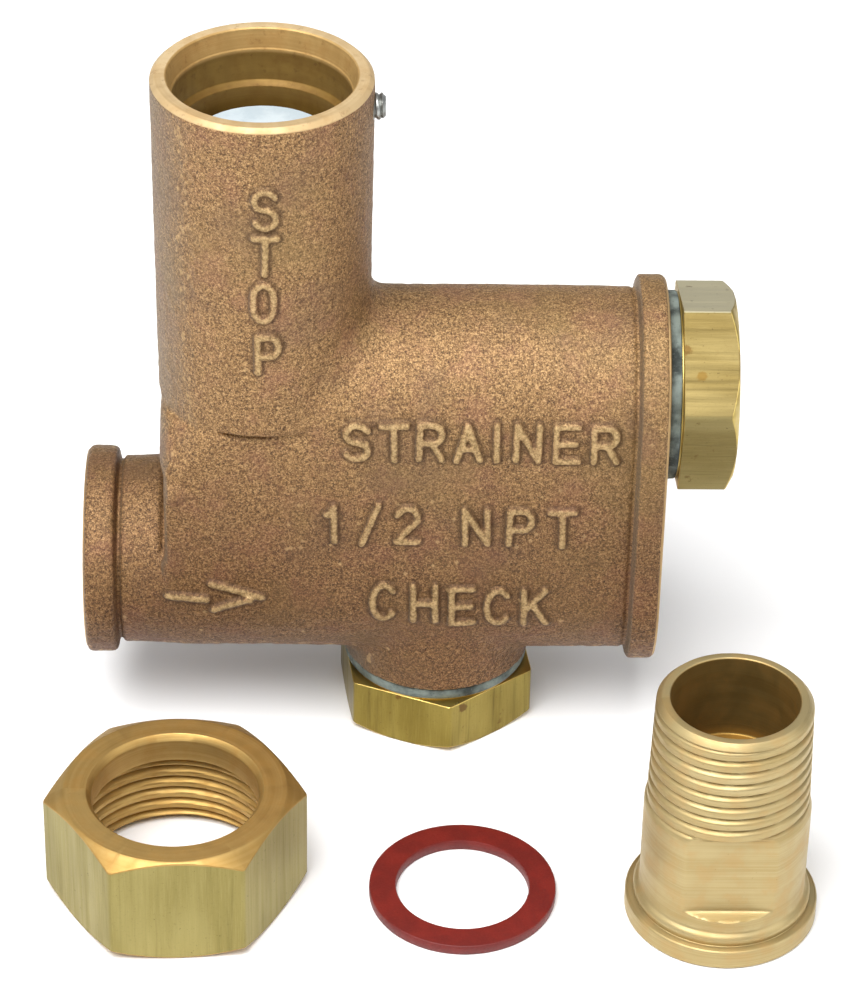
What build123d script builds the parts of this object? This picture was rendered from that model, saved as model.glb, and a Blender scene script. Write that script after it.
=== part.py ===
"""Combined stop, strainer and check valve with its union end kit.

Millimetres, +Z up, +X along the flow.  The origin is the centre of the check
cap's flat bottom, on which the valve stands.  The union nut, its washer and
the tailpiece stand loose on the same plane, in front of the body.
"""
from build123d import *
import math
import os

os.makedirs("parts", exist_ok=True)

# ---- driving dimensions -------------------------------------------------
Z_RUN = 24.15            # axis height of the inlet and outlet run
Z_STR = 51.25            # axis height of the strainer chamber
X_TOW = -23.3            # axis of the stop tower
Z_TOP = 97.3             # machined rim of the tower
X_IN = -47.2             # machined inlet face
X_OUT = 29.2             # machined outlet and strainer face

R_TOW_TOP = 14.1         # tower, outside, at the rim
R_TOW_LOW = 13.78        # tower, outside, where it meets the run
R_NECK = 12.35           # inlet neck, outside
R_RUN = 12.95            # run and strainer chamber, outside
R_IN_FL = 13.93          # inlet bead, outside
T_IN_FL = 4.2            # inlet bead, thickness
R_OUT_FL = 14.6          # oblong outlet flange, end radius
T_OUT_FL = 3.4           # oblong outlet flange, thickness
R_BOSS = 12.7            # check boss, outside
Z_BOSS = 9.65            # machined face of the check boss

NPT_R = 9.3              # half-inch pipe thread, inside wall of the port
NPT_L = 14.0             # half-inch pipe thread, depth of the port
R_PASS = 8.2             # water passages

HEX_R = 14.17            # cap hexagons, across-corners radius
HEX_T = 7.9              # check cap hexagon, thickness
HEX_T2 = 7.25            # strainer cap hexagon, thickness
T_FACE = 0.25            # turned washer face on each cap
T_GSK = 1.5              # fibre cap gaskets, thickness
R_GSK = 12.5             # fibre cap gaskets, outside

SEAT_R = 5.0             # water way through both valve seats
STOP_TRAVEL = 4.2        # stop plunger travel
CHECK_TRAVEL = 5.0       # check poppet travel

NUT_X, NUT_Y = -34.14, -41.17
NUT_H = 15.9             # union nut, height
NUT_HEX_R = 17.03        # union nut, across-corners radius
NUT_THREAD_R = 12.9      # union nut, inside wall of its thread
NUT_COLLAR_R = 10.75     # union nut, hole in its collar

GSK_X, GSK_Y = 2.98, -42.81

TAIL_X, TAIL_Y = 36.38, -45.05
TAIL_H = 34.2
TAIL_R = 10.67           # half-inch pipe barrel, outside
TAIL_FL_R = 12.41
TAIL_FL_T = 2.85
TAIL_BORE = 7.0          # tailpiece water way
TAIL_CBORE = 8.15        # counterbore at its threaded end
TAIL_FLAT = 8.95         # wrench flats, distance from the axis


def axis_z(x, y):
    return Axis((x, y, 0), (0, 0, 1))


def axis_x(z):
    return Axis((0, 0, z), (1, 0, 0))


# ---- valve body: one bronze casting -------------------------------------
with BuildPart() as valve_body:
    # oblong outlet flange with rounded edges
    with BuildSketch(Plane.YZ.offset(X_OUT - T_OUT_FL)):
        with Locations((0, (Z_RUN + Z_STR) / 2)):
            SlotCenterToCenter(Z_STR - Z_RUN, 2 * R_OUT_FL, rotation=90)
    extrude(amount=T_OUT_FL)
    fillet(valve_body.edges().group_by(Axis.X)[-1], radius=0.5)
    fillet(valve_body.edges().group_by(Axis.X)[0], radius=0.9)
    # flat-sided shell that holds the strainer chamber above the run
    with BuildSketch(Plane.YZ.offset(X_TOW)):
        with Locations((0, (Z_RUN + Z_STR) / 2)):
            SlotCenterToCenter(Z_STR - Z_RUN, 2 * R_RUN, rotation=90)
    extrude(amount=X_OUT - 1.0 - X_TOW)
    # run and inlet neck, then the inlet bead
    with BuildSketch(Plane.XZ):
        with BuildLine():
            Polyline(
                (X_IN, Z_RUN),
                (X_IN, Z_RUN + R_IN_FL - 0.5),
                (X_IN + 0.5, Z_RUN + R_IN_FL),
                (X_IN + T_IN_FL - 0.9, Z_RUN + R_IN_FL),
                (X_IN + T_IN_FL, Z_RUN + R_IN_FL - 0.9),
                (X_IN + T_IN_FL + 0.8, Z_RUN + R_NECK),
                (X_TOW - 12.0, Z_RUN + R_NECK + 0.1),
                (X_TOW + 9.0, Z_RUN + R_RUN),
                (X_OUT - 1.0, Z_RUN + R_RUN),
                (X_OUT - 1.0, Z_RUN),
                close=True,
            )
        make_face()
    revolve(axis=axis_x(Z_RUN))
    # squared shoulder between the neck and the tower, sloped into the tower
    with BuildSketch(Plane.YZ.offset(X_TOW - 13.6)):
        with BuildLine():
            Polyline(
                (-R_RUN + 0.1, Z_RUN),
                (-R_RUN + 0.1, 43),
                (-7.0, 51.6),
                (7.0, 51.6),
                (R_RUN - 0.1, 43),
                (R_RUN - 0.1, Z_RUN),
                close=True,
            )
        make_face()
    extrude(amount=13.6)
    # stop tower, slightly wider at the rim
    with BuildSketch(Plane.XZ):
        with BuildLine():
            Polyline(
                (X_TOW, Z_RUN),
                (X_TOW + R_TOW_LOW, Z_RUN),
                (X_TOW + R_TOW_LOW, 41),
                (X_TOW + R_TOW_TOP, Z_TOP - 0.4),
                (X_TOW + R_TOW_TOP - 0.4, Z_TOP),
                (X_TOW, Z_TOP),
                close=True,
            )
        make_face()
    revolve(axis=axis_z(X_TOW, 0))
    # check boss
    with BuildSketch(Plane.XY.offset(Z_BOSS)):
        Circle(R_BOSS)
    extrude(amount=Z_RUN - Z_BOSS)

    # stepped tower bore: rim, socket, shoulder, bonnet seat, thread, chamber
    with BuildSketch(Plane.XZ):
        with BuildLine():
            Polyline(
                (X_TOW, 39),
                (X_TOW + 9.4, 39),
                (X_TOW + 9.4, 76.3),
                (X_TOW + 10.1, 77),
                (X_TOW + 10.1, 89.9),
                (X_TOW + 11.4, 90.5),
                (X_TOW + 11.4, 94.6),
                (X_TOW + 12.0, 94.6),
                (X_TOW + 12.0, Z_TOP),
                (X_TOW, Z_TOP),
                close=True,
            )
        make_face()
    revolve(axis=axis_z(X_TOW, 0), mode=Mode.SUBTRACT)
    # raised stop seat in the floor of the tower chamber
    with BuildSketch(Plane.XY.offset(38.5)):
        with Locations((X_TOW, 0)):
            Circle(6.3)
    extrude(amount=1.3)
    with BuildSketch(Plane.XY.offset(Z_RUN)):
        with Locations((X_TOW, 0)):
            Circle(SEAT_R)
    extrude(amount=39.9 - Z_RUN, mode=Mode.SUBTRACT)
    # inlet port and passage under the stop seat
    with BuildSketch(Plane.XZ):
        with BuildLine():
            Polyline(
                (X_IN, Z_RUN),
                (X_IN, Z_RUN + NPT_R + 1.0),
                (X_IN + 1.0, Z_RUN + NPT_R),
                (X_IN + 1.0 + NPT_L, Z_RUN + NPT_R),
                (X_IN + 2.1 + NPT_L, Z_RUN + R_PASS),
                (-15.5, Z_RUN + R_PASS),
                (-15.5, Z_RUN),
                close=True,
            )
        make_face()
    revolve(axis=axis_x(Z_RUN), mode=Mode.SUBTRACT)
    # passage from the tower, screen seat, strainer chamber and cap thread
    with BuildSketch(Plane.XZ):
        with BuildLine():
            Polyline(
                (X_TOW, Z_STR),
                (X_TOW, Z_STR + 6.5),
                (-11.0, Z_STR + 6.5),
                (-11.0, Z_STR + 9.0),
                (-9.2, Z_STR + 9.0),
                (-9.2, Z_STR + 10.2),
                (19.4, Z_STR + 10.2),
                (19.8, Z_STR + 10.6),
                (X_OUT - 0.4, Z_STR + 10.6),
                (X_OUT, Z_STR + 11.0),
                (X_OUT, Z_STR),
                close=True,
            )
        make_face()
    revolve(axis=axis_x(Z_STR), mode=Mode.SUBTRACT)
    # check chamber with its downward-facing seat ring, and cap thread
    with BuildSketch(Plane.XZ):
        with BuildLine():
            Polyline(
                (0, Z_BOSS),
                (10.0, Z_BOSS),
                (9.6, Z_BOSS + 0.4),
                (9.6, 19),
                (8.6, 19.6),
                (8.6, 35.5),
                (6.3, 35.5),
                (6.3, 34.9),
                (SEAT_R, 34.9),
                (SEAT_R, Z_STR),
                (0, Z_STR),
                close=True,
            )
        make_face()
    revolve(axis=Axis.Z, mode=Mode.SUBTRACT)
    # outlet passage and port
    with BuildSketch(Plane.XZ):
        with BuildLine():
            Polyline(
                (0, Z_RUN),
                (0, Z_RUN + R_PASS),
                (X_OUT - 2.1 - NPT_L, Z_RUN + R_PASS),
                (X_OUT - 1.0 - NPT_L, Z_RUN + NPT_R),
                (X_OUT - 1.0, Z_RUN + NPT_R),
                (X_OUT, Z_RUN + NPT_R + 1.0),
                (X_OUT, Z_RUN),
                close=True,
            )
        make_face()
    revolve(axis=axis_x(Z_RUN), mode=Mode.SUBTRACT)
    # tapped hole for the set screw
    with BuildSketch(Plane.YZ.offset(X_TOW + 10.5)):
        with Locations((0, 92.8)):
            Circle(1.78)
    extrude(amount=4.5, mode=Mode.SUBTRACT)
valve_body.part.label = "valve_body"

# ---- strainer ------------------------------------------------------------
X_FACE = X_OUT + T_GSK               # cap side of the strainer gasket
X_HEX = X_FACE + T_FACE
with BuildPart() as strainer_cap_gasket:
    with BuildSketch(Plane.YZ.offset(X_OUT)):
        with Locations((0, Z_STR)):
            Circle(R_GSK)
            Circle(10.75, mode=Mode.SUBTRACT)
    extrude(amount=T_GSK)
strainer_cap_gasket.part.label = "strainer_cap_gasket"

with BuildPart() as strainer_cap:
    with BuildSketch(Plane.YZ.offset(X_HEX)):
        with Locations((0, Z_STR)):
            RegularPolygon(radius=HEX_R, side_count=6, rotation=44.5)
    extrude(amount=HEX_T2)
    with BuildSketch(Plane.XZ):
        with BuildLine():
            Polyline(
                (X_HEX - 1, Z_STR),
                (X_HEX - 1, Z_STR + HEX_R + 1),
                (X_HEX + HEX_T2 - 1.1, Z_STR + HEX_R + 0.1),
                (X_HEX + HEX_T2, Z_STR + 12.2),
                (X_HEX + HEX_T2, Z_STR),
                close=True,
            )
        make_face()
    revolve(axis=axis_x(Z_STR), mode=Mode.INTERSECT)
    with BuildSketch(Plane.XZ):
        with BuildLine():
            Polyline(
                (20.6, Z_STR + 8.7),
                (20.6, Z_STR + 9.9),
                (21.2, Z_STR + 10.5),
                (X_OUT - 0.6, Z_STR + 10.5),
                (X_OUT - 0.2, Z_STR + 9.9),
                (X_FACE, Z_STR + 9.9),
                (X_FACE, Z_STR + 12.2),
                (X_HEX + 0.1, Z_STR + 12.2),
                (X_HEX + 0.1, Z_STR),
                (X_OUT + 0.6, Z_STR),
                (X_OUT + 0.6, Z_STR + 8.7),
                close=True,
            )
        make_face()
    revolve(axis=axis_x(Z_STR))
strainer_cap.part.label = "strainer_cap"

SCR_R, SCR_T = 8.3, 0.4              # screen, outside radius and wall
SCR_X0, SCR_X1 = -9.5, 29.3
with BuildPart() as strainer_screen:
    with BuildSketch(Plane.YZ.offset(SCR_X0)):
        with Locations((0, Z_STR)):
            Circle(SCR_R)
            Circle(SCR_R - SCR_T, mode=Mode.SUBTRACT)
    extrude(amount=SCR_X1 - SCR_X0)
    # rows of round perforations, six directions through the tube
    for k in range(6):
        tilt = Plane(
            origin=(0, 0, Z_STR),
            x_dir=(1, 0, 0),
            z_dir=(0, math.cos(math.radians(30 * k)), math.sin(math.radians(30 * k))),
        )
        with BuildSketch(tilt):
            with Locations(*[(SCR_X0 + 5.4 + 3.0 * i, 0) for i in range(9)]):
                Circle(1.0)
        extrude(amount=10, both=True, mode=Mode.SUBTRACT)
strainer_screen.part.label = "strainer_screen"

with BuildPart() as screen_end_ring:
    with BuildSketch(Plane.XZ):
        with BuildLine():
            Polyline(
                (-10.95, Z_STR + 7.0),
                (-10.95, Z_STR + 8.9),
                (SCR_X0 - 0.03, Z_STR + 8.9),
                (SCR_X0 - 0.03, Z_STR + 7.86),
                (SCR_X0 + 2.6, Z_STR + 7.86),
                (SCR_X0 + 2.6, Z_STR + 7.0),
                close=True,
            )
        make_face()
    revolve(axis=axis_x(Z_STR))
screen_end_ring.part.label = "screen_end_ring"

# ---- check valve ---------------------------------------------------------
Z_FACE = Z_BOSS - T_GSK              # cap side of the check gasket
with BuildPart() as check_cap_gasket:
    with BuildSketch(Plane.XY.offset(Z_FACE)):
        Circle(R_GSK)
        Circle(9.75, mode=Mode.SUBTRACT)
    extrude(amount=T_GSK)
check_cap_gasket.part.label = "check_cap_gasket"

with BuildPart() as check_cap:
    with BuildSketch(Plane.XY):
        RegularPolygon(radius=HEX_R, side_count=6, rotation=37.2)
    extrude(amount=HEX_T)
    with BuildSketch(Plane.XZ):
        with BuildLine():
            Polyline(
                (0, 0),
                (12.2, 0),
                (HEX_R + 0.1, 1.15),
                (HEX_R + 1, HEX_T + 1),
                (0, HEX_T + 1),
                close=True,
            )
        make_face()
    revolve(axis=Axis.Z, mode=Mode.INTERSECT)
    # washer face, threaded plug, spring cup and poppet guide
    with BuildSketch(Plane.XZ):
        with BuildLine():
            Polyline(
                (1.9, HEX_T - 0.1),
                (12.2, HEX_T - 0.1),
                (12.2, Z_FACE),
                (8.9, Z_FACE),
                (8.9, Z_BOSS + 0.2),
                (9.5, Z_BOSS + 0.6),
                (9.5, 17.4),
                (8.9, 18),
                (7.6, 18),
                (7.6, 10),
                (3.6, 10),
                (3.6, 16),
                (1.9, 16),
                close=True,
            )
        make_face()
    revolve(axis=Axis.Z)
    with BuildSketch(Plane.XY.offset(5)):
        Circle(1.9)
    extrude(amount=8, mode=Mode.SUBTRACT)
check_cap.part.label = "check_cap"

with BuildPart() as check_poppet:
    with BuildSketch(Plane.XZ):
        with BuildLine():
            Polyline(
                (0, 10.5),
                (1.55, 10.5),
                (1.85, 10.9),
                (1.85, 30),
                (4.2, 30),
                (4.2, 30.8),
                (6.8, 30.8),
                (6.8, 33.2),
                (1.27, 33.2),
                (1.27, 27.5),
                (0, 27.5),
                close=True,
            )
        make_face()
    revolve(axis=Axis.Z)
check_poppet.part.label = "check_poppet"

with BuildPart() as check_seal_disc:
    with BuildSketch(Plane.XY.offset(33.2)):
        Circle(6.7)
        Circle(1.3, mode=Mode.SUBTRACT)
    extrude(amount=1.65)
check_seal_disc.part.label = "check_seal_disc"

with BuildPart() as check_disc_screw:
    with BuildSketch(Plane.XY.offset(34.85)):
        Circle(3.0)
    extrude(amount=1.2)
    with BuildSketch(Plane.XY.offset(28)):
        Circle(1.25)
    extrude(amount=6.9)
    with BuildSketch(Plane.XY.offset(35.45)):
        Rectangle(7, 0.8)
    extrude(amount=1, mode=Mode.SUBTRACT)
check_disc_screw.part.label = "check_disc_screw"

SPRING_R, SPRING_WIRE = 5.3, 0.35
with BuildPart() as check_spring:
    with BuildLine() as coil:
        Helix(pitch=2.85, height=19.9, radius=SPRING_R, center=(0, 0, 10.36))
    with BuildSketch(Plane(origin=coil.line @ 0, z_dir=coil.line % 0)):
        Circle(SPRING_WIRE)
    sweep(path=coil.line, is_frenet=True)
check_spring.part.label = "check_spring"

# ---- stop ----------------------------------------------------------------
with BuildPart() as stop_bonnet:
    with BuildSketch(Plane.XZ):
        with BuildLine():
            Polyline(
                (X_TOW + 3.55, 80.5),
                (X_TOW + 9.4, 80.5),
                (X_TOW + 10.0, 79.9),
                (X_TOW + 10.0, 77.05),
                (X_TOW + 8.3, 77.05),
                (X_TOW + 8.3, 75.3),
                (X_TOW + 9.3, 75.3),
                (X_TOW + 9.3, 67),
                (X_TOW + 8.8, 66.5),
                (X_TOW + 8.8, 58.2),
                (X_TOW + 6.6, 58.2),
                (X_TOW + 6.6, 73),
                (X_TOW + 3.55, 73),
                (X_TOW + 3.55, 76),
                (X_TOW + 4.92, 76),
                (X_TOW + 4.92, 77.9),
                (X_TOW + 3.55, 77.9),
                close=True,
            )
        make_face()
    revolve(axis=axis_z(X_TOW, 0))
    # six-sided broach that keeps the plunger from turning
    with BuildSketch(Plane.XY.offset(58.2)):
        with Locations((X_TOW, 0)):
            Circle(7.0)
            RegularPolygon(radius=6.45, side_count=6, mode=Mode.SUBTRACT)
    extrude(amount=10)
    # two spanner slots
    with BuildSketch(Plane.XY.offset(79)):
        with Locations((X_TOW, 0)):
            Rectangle(22, 2.2)
    extrude(amount=3, mode=Mode.SUBTRACT)
    with BuildSketch(Plane.XY.offset(78.9)):
        with Locations((X_TOW, 0)):
            Circle(6.0)
            Circle(3.55, mode=Mode.SUBTRACT)
    extrude(amount=1.6)
stop_bonnet.part.label = "stop_bonnet"

with BuildPart() as bonnet_o_ring:
    with BuildSketch(Plane.XZ):
        with Locations((X_TOW + 8.85, 76.15)):
            Circle(0.5)
    revolve(axis=axis_z(X_TOW, 0))
bonnet_o_ring.part.label = "bonnet_o_ring"

with BuildPart() as stem_o_ring:
    with BuildSketch(Plane.XZ):
        with Locations((X_TOW + 4.235, 76.95)):
            Circle(0.67)
    revolve(axis=axis_z(X_TOW, 0))
stem_o_ring.part.label = "stem_o_ring"

with BuildPart() as stop_stem:
    with BuildSketch(Plane.XZ):
        with BuildLine():
            Polyline(
                (X_TOW, 52),
                (X_TOW + 2.6, 52),
                (X_TOW + 3.0, 52.4),
                (X_TOW + 3.0, 71),
                (X_TOW + 5.3, 71),
                (X_TOW + 5.3, 72.9),
                (X_TOW + 3.5, 72.9),
                (X_TOW + 3.5, 80.7),
                (X_TOW + 2.9, 80.7),
                (X_TOW + 2.9, 81.5),
                (X_TOW + 3.5, 81.5),
                (X_TOW + 3.5, 82.6),
                (X_TOW + 2.5, 82.6),
                (X_TOW + 2.5, 85.4),
                (X_TOW, 85.4),
                close=True,
            )
        make_face()
    revolve(axis=axis_z(X_TOW, 0))
stop_stem.part.label = "stop_stem"

with BuildPart() as stem_retaining_ring:
    with BuildSketch(Plane.XY.offset(80.8)):
        with Locations((X_TOW, 0)):
            Circle(5.2)
            Circle(2.95, mode=Mode.SUBTRACT)
        with Locations((X_TOW + 4.5, 0)):
            Rectangle(9, 2.4, mode=Mode.SUBTRACT)
    extrude(amount=0.6)
stem_retaining_ring.part.label = "stem_retaining_ring"

with BuildPart() as stop_drive_disc:
    with BuildSketch(Plane.XZ):
        with BuildLine():
            Polyline(
                (X_TOW, 85.5),
                (X_TOW + 2.52, 85.5),
                (X_TOW + 2.52, 82.7),
                (X_TOW + 5.5, 82.7),
                (X_TOW + 5.5, 84.5),
                (X_TOW + 9.3, 84.5),
                (X_TOW + 9.6, 84.8),
                (X_TOW + 9.6, 87.1),
                (X_TOW + 9.2, 87.5),
                (X_TOW, 87.5),
                close=True,
            )
        make_face()
    revolve(axis=axis_z(X_TOW, 0))
    with BuildSketch(Plane.XY.offset(86.3)):
        with Locations((X_TOW, 0)):
            Rectangle(13, 1.8)
    extrude(amount=2, mode=Mode.SUBTRACT)
stop_drive_disc.part.label = "stop_drive_disc"

with BuildPart() as stop_plunger:
    with BuildSketch(Plane.XY.offset(46.5)):
        with Locations((X_TOW, 0)):
            Circle(7.2)
    extrude(amount=3)
    with BuildSketch(Plane.XY.offset(46.5)):
        with Locations((X_TOW, 0)):
            RegularPolygon(radius=6.35, side_count=6)
    extrude(amount=20.5)
    with BuildSketch(Plane.XY.offset(51)):
        with Locations((X_TOW, 0)):
            Circle(3.06)
    extrude(amount=17, mode=Mode.SUBTRACT)
    with BuildSketch(Plane.XY.offset(46.4)):
        with Locations((X_TOW, 0)):
            Circle(1.53)
    extrude(amount=3.8, mode=Mode.SUBTRACT)
stop_plunger.part.label = "stop_plunger"

with BuildPart() as stop_seat_washer:
    with BuildSketch(Plane.XY.offset(44.1)):
        with Locations((X_TOW, 0)):
            Circle(6.9)
            Circle(1.6, mode=Mode.SUBTRACT)
    extrude(amount=2.4)
stop_seat_washer.part.label = "stop_seat_washer"

with BuildPart() as stop_washer_screw:
    with BuildSketch(Plane.XY.offset(42.9)):
        with Locations((X_TOW, 0)):
            Circle(3.0)
    extrude(amount=1.2)
    with BuildSketch(Plane.XY.offset(44)):
        with Locations((X_TOW, 0)):
            Circle(1.5)
    extrude(amount=5.9)
    with BuildSketch(Plane.XY.offset(42)):
        with Locations((X_TOW, 0)):
            Rectangle(7, 0.8)
    extrude(amount=1.5, mode=Mode.SUBTRACT)
stop_washer_screw.part.label = "stop_washer_screw"

with BuildPart() as set_screw:
    with BuildSketch(Plane.XZ):
        with BuildLine():
            Polyline(
                (X_TOW + 11.45, 92.8),
                (X_TOW + 11.45, 92.8 + 1.3),
                (X_TOW + 11.9, 92.8 + 1.73),
                (X_TOW + 15.2, 92.8 + 1.73),
                (X_TOW + 15.5, 92.8 + 1.45),
                (X_TOW + 15.5, 92.8),
                close=True,
            )
        make_face()
    revolve(axis=axis_x(92.8))
    with BuildSketch(Plane.YZ.offset(X_TOW + 14.0)):
        with Locations((0, 92.8)):
            RegularPolygon(radius=0.92, side_count=6)
    extrude(amount=2, mode=Mode.SUBTRACT)
set_screw.part.label = "set_screw"

# ---- union end kit -------------------------------------------------------
with BuildPart() as union_nut:
    with BuildSketch(Plane.XY):
        with Locations((NUT_X, NUT_Y)):
            RegularPolygon(radius=NUT_HEX_R, side_count=6, rotation=2.8)
    extrude(amount=NUT_H)
    with BuildSketch(Plane.XZ.offset(-NUT_Y)):
        with BuildLine():
            Polyline(
                (NUT_X, 0),
                (NUT_X + 14.4, 0),
                (NUT_X + NUT_HEX_R + 0.1, 1.56),
                (NUT_X + NUT_HEX_R + 0.1, NUT_H - 1.59),
                (NUT_X + 14.35, NUT_H),
                (NUT_X, NUT_H),
                close=True,
            )
        make_face()
    revolve(axis=axis_z(NUT_X, NUT_Y), mode=Mode.INTERSECT)
    with BuildSketch(Plane.XZ.offset(-NUT_Y)):
        with BuildLine():
            Polyline(
                (NUT_X, 0),
                (NUT_X + NUT_THREAD_R + 1.0, 0),
                (NUT_X + NUT_THREAD_R, 1.0),
                (NUT_X + NUT_THREAD_R, 10.4),
                (NUT_X + NUT_THREAD_R + 0.6, 10.8),
                (NUT_X + NUT_THREAD_R + 0.6, 11.9),
                (NUT_X + NUT_COLLAR_R, 11.9),
                (NUT_X + NUT_COLLAR_R, NUT_H - 0.75),
                (NUT_X + NUT_COLLAR_R + 0.65, NUT_H),
                (NUT_X, NUT_H),
                close=True,
            )
        make_face()
    revolve(axis=axis_z(NUT_X, NUT_Y), mode=Mode.SUBTRACT)
union_nut.part.label = "union_nut"

with BuildPart() as union_gasket:
    with BuildSketch(Plane.XY):
        with Locations((GSK_X, GSK_Y)):
            Circle(12.2)
            Circle(8.6, mode=Mode.SUBTRACT)
    extrude(amount=1.5)
union_gasket.part.label = "union_gasket"

with BuildPart() as union_tailpiece:
    with BuildSketch(Plane.XZ.offset(-TAIL_Y)):
        with BuildLine():
            Polyline(
                (TAIL_X + TAIL_BORE, 0.4),
                (TAIL_X + TAIL_BORE + 0.4, 0),
                (TAIL_X + TAIL_FL_R - 0.3, 0),
                (TAIL_X + TAIL_FL_R, 0.3),
                (TAIL_X + TAIL_FL_R, TAIL_FL_T - 0.3),
                (TAIL_X + TAIL_FL_R - 0.3, TAIL_FL_T),
                (TAIL_X + TAIL_R + 0.75, TAIL_FL_T),
                (TAIL_X + TAIL_R + 0.75, TAIL_FL_T + 0.9),
                (TAIL_X + TAIL_R, TAIL_FL_T + 2.1),
                (TAIL_X + TAIL_R, 18.2),
                (TAIL_X + TAIL_R - 0.45, 18.8),
                (TAIL_X + TAIL_R - 0.45, TAIL_H - 1.1),
                (TAIL_X + 9.15, TAIL_H),
                (TAIL_X + TAIL_CBORE, TAIL_H),
                (TAIL_X + TAIL_CBORE, 22.0),
                (TAIL_X + TAIL_BORE, 22.0),
                close=True,
            )
        make_face()
    revolve(axis=axis_z(TAIL_X, TAIL_Y))
    # two wrench flats across the barrel
    for side in (-1, 1):
        with BuildSketch(Plane.XY.offset(6.6)):
            with Locations((TAIL_X, TAIL_Y + side * (TAIL_FLAT + 3.0))):
                Rectangle(24, 6.0)
        extrude(amount=11.6, mode=Mode.SUBTRACT)
union_tailpiece.part.label = "union_tailpiece"

# ---- one STEP file for each piece ----------------------------------------
for piece in (
    valve_body, strainer_cap, strainer_cap_gasket, strainer_screen,
    screen_end_ring, check_cap, check_cap_gasket, check_poppet,
    check_seal_disc, check_disc_screw, check_spring, stop_bonnet,
    bonnet_o_ring, stem_o_ring, stop_stem, stem_retaining_ring,
    stop_drive_disc, stop_plunger, stop_seat_washer, stop_washer_screw,
    set_screw, union_nut, union_gasket, union_tailpiece,
):
    export_step(piece.part, f"parts/{piece.part.label}.step")
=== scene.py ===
"""Looks for the combined stop, strainer and check valve with its union end kit.

Lengths below are in millimetres in the row frame, and are turned into metres
when a mesh is made.
"""
import math
import bpy
import numpy as np
from mathutils import Matrix, Vector
from mathutils.geometry import tessellate_polygon
import openvdb


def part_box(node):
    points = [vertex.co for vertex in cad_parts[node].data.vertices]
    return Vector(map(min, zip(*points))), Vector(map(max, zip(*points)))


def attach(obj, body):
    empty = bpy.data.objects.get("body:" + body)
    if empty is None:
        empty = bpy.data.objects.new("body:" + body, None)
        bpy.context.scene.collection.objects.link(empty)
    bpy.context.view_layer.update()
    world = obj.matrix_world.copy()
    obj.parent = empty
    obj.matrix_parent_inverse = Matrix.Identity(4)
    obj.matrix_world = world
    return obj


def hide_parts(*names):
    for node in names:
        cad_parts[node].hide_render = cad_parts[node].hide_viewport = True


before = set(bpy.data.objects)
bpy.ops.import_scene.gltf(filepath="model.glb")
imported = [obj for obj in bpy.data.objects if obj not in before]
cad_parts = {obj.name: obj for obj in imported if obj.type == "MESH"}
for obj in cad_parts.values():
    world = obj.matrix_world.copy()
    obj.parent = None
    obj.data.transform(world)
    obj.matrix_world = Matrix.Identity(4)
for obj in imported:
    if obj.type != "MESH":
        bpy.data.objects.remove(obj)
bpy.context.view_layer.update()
SC = bpy.context.scene
SC.view_settings.view_transform = "Standard"
SC.view_settings.look = "None"
TAU = 2 * math.pi


def mm_box(node):
    lo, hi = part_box(node)
    return np.array(lo) * 1000, np.array(hi) * 1000


# ---- places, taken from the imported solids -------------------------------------
B0, B1 = mm_box("valve_body")
X_IN, X_OUT, Z_BOSS, Z_TOP = B0[0], B1[0], B0[2], B1[2]
S0, S1 = mm_box("stop_drive_disc")
XT = (S0[0] + S1[0]) / 2
DISC_Z = S1[2]
G0, G1 = mm_box("strainer_cap_gasket")
ZS = (G0[2] + G1[2]) / 2
ZR = ZS - 27.1
N0, N1 = mm_box("union_nut")
NX, NY, NH = (N0[0] + N1[0]) / 2, (N0[1] + N1[1]) / 2, N1[2]
U0, U1 = mm_box("union_gasket")
GX, GY = (U0[0] + U1[0]) / 2, (U0[1] + U1[1]) / 2
T0, T1 = mm_box("union_tailpiece")
TX, TY, TH = (T0[0] + T1[0]) / 2, (T0[1] + T1[1]) / 2, T1[2]
K0, K1 = mm_box("set_screw")
ZK = (K0[2] + K1[2]) / 2


# ---- mesh helpers ------------------------------------------------------------
def make(name, verts, faces, body, node, slot, mat, sharp=38, weighted=True, mats=None, index=None):
    """A shown piece from points in mm and lists or arrays of faces."""
    me = bpy.data.meshes.new(name)
    v = np.asarray(verts, dtype=np.float64) * 0.001
    me.vertices.add(len(v))
    me.vertices.foreach_set("co", v.astype(np.float32).ravel())
    groups = [np.asarray(f, dtype=np.int32) for f in faces if len(f)]
    total = sum(f.size for f in groups)
    me.loops.add(total)
    me.loops.foreach_set("vertex_index", np.concatenate([f.ravel() for f in groups]))
    count = sum(len(f) for f in groups)
    me.polygons.add(count)
    sizes = np.concatenate([np.full(len(f), f.shape[1], dtype=np.int32) for f in groups])
    starts = np.concatenate([[0], np.cumsum(sizes)[:-1]]).astype(np.int32)
    me.polygons.foreach_set("loop_start", starts)
    me.polygons.foreach_set("use_smooth", np.ones(count, dtype=bool))
    for m in (mats or [mat]):
        me.materials.append(m)
    if index is not None:
        me.polygons.foreach_set("material_index", np.asarray(index, dtype=np.int32))
    me.update(calc_edges=True)
    me.validate()
    me.update()
    if sharp:
        me.set_sharp_from_angle(angle=math.radians(sharp))
    ob = bpy.data.objects.new(name, me)
    SC.collection.objects.link(ob)
    if weighted:
        w = ob.modifiers.new("weighted", "WEIGHTED_NORMAL")
        w.keep_sharp = True
        w.weight = 60
    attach(ob, body)
    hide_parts(node)
    return ob


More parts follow.
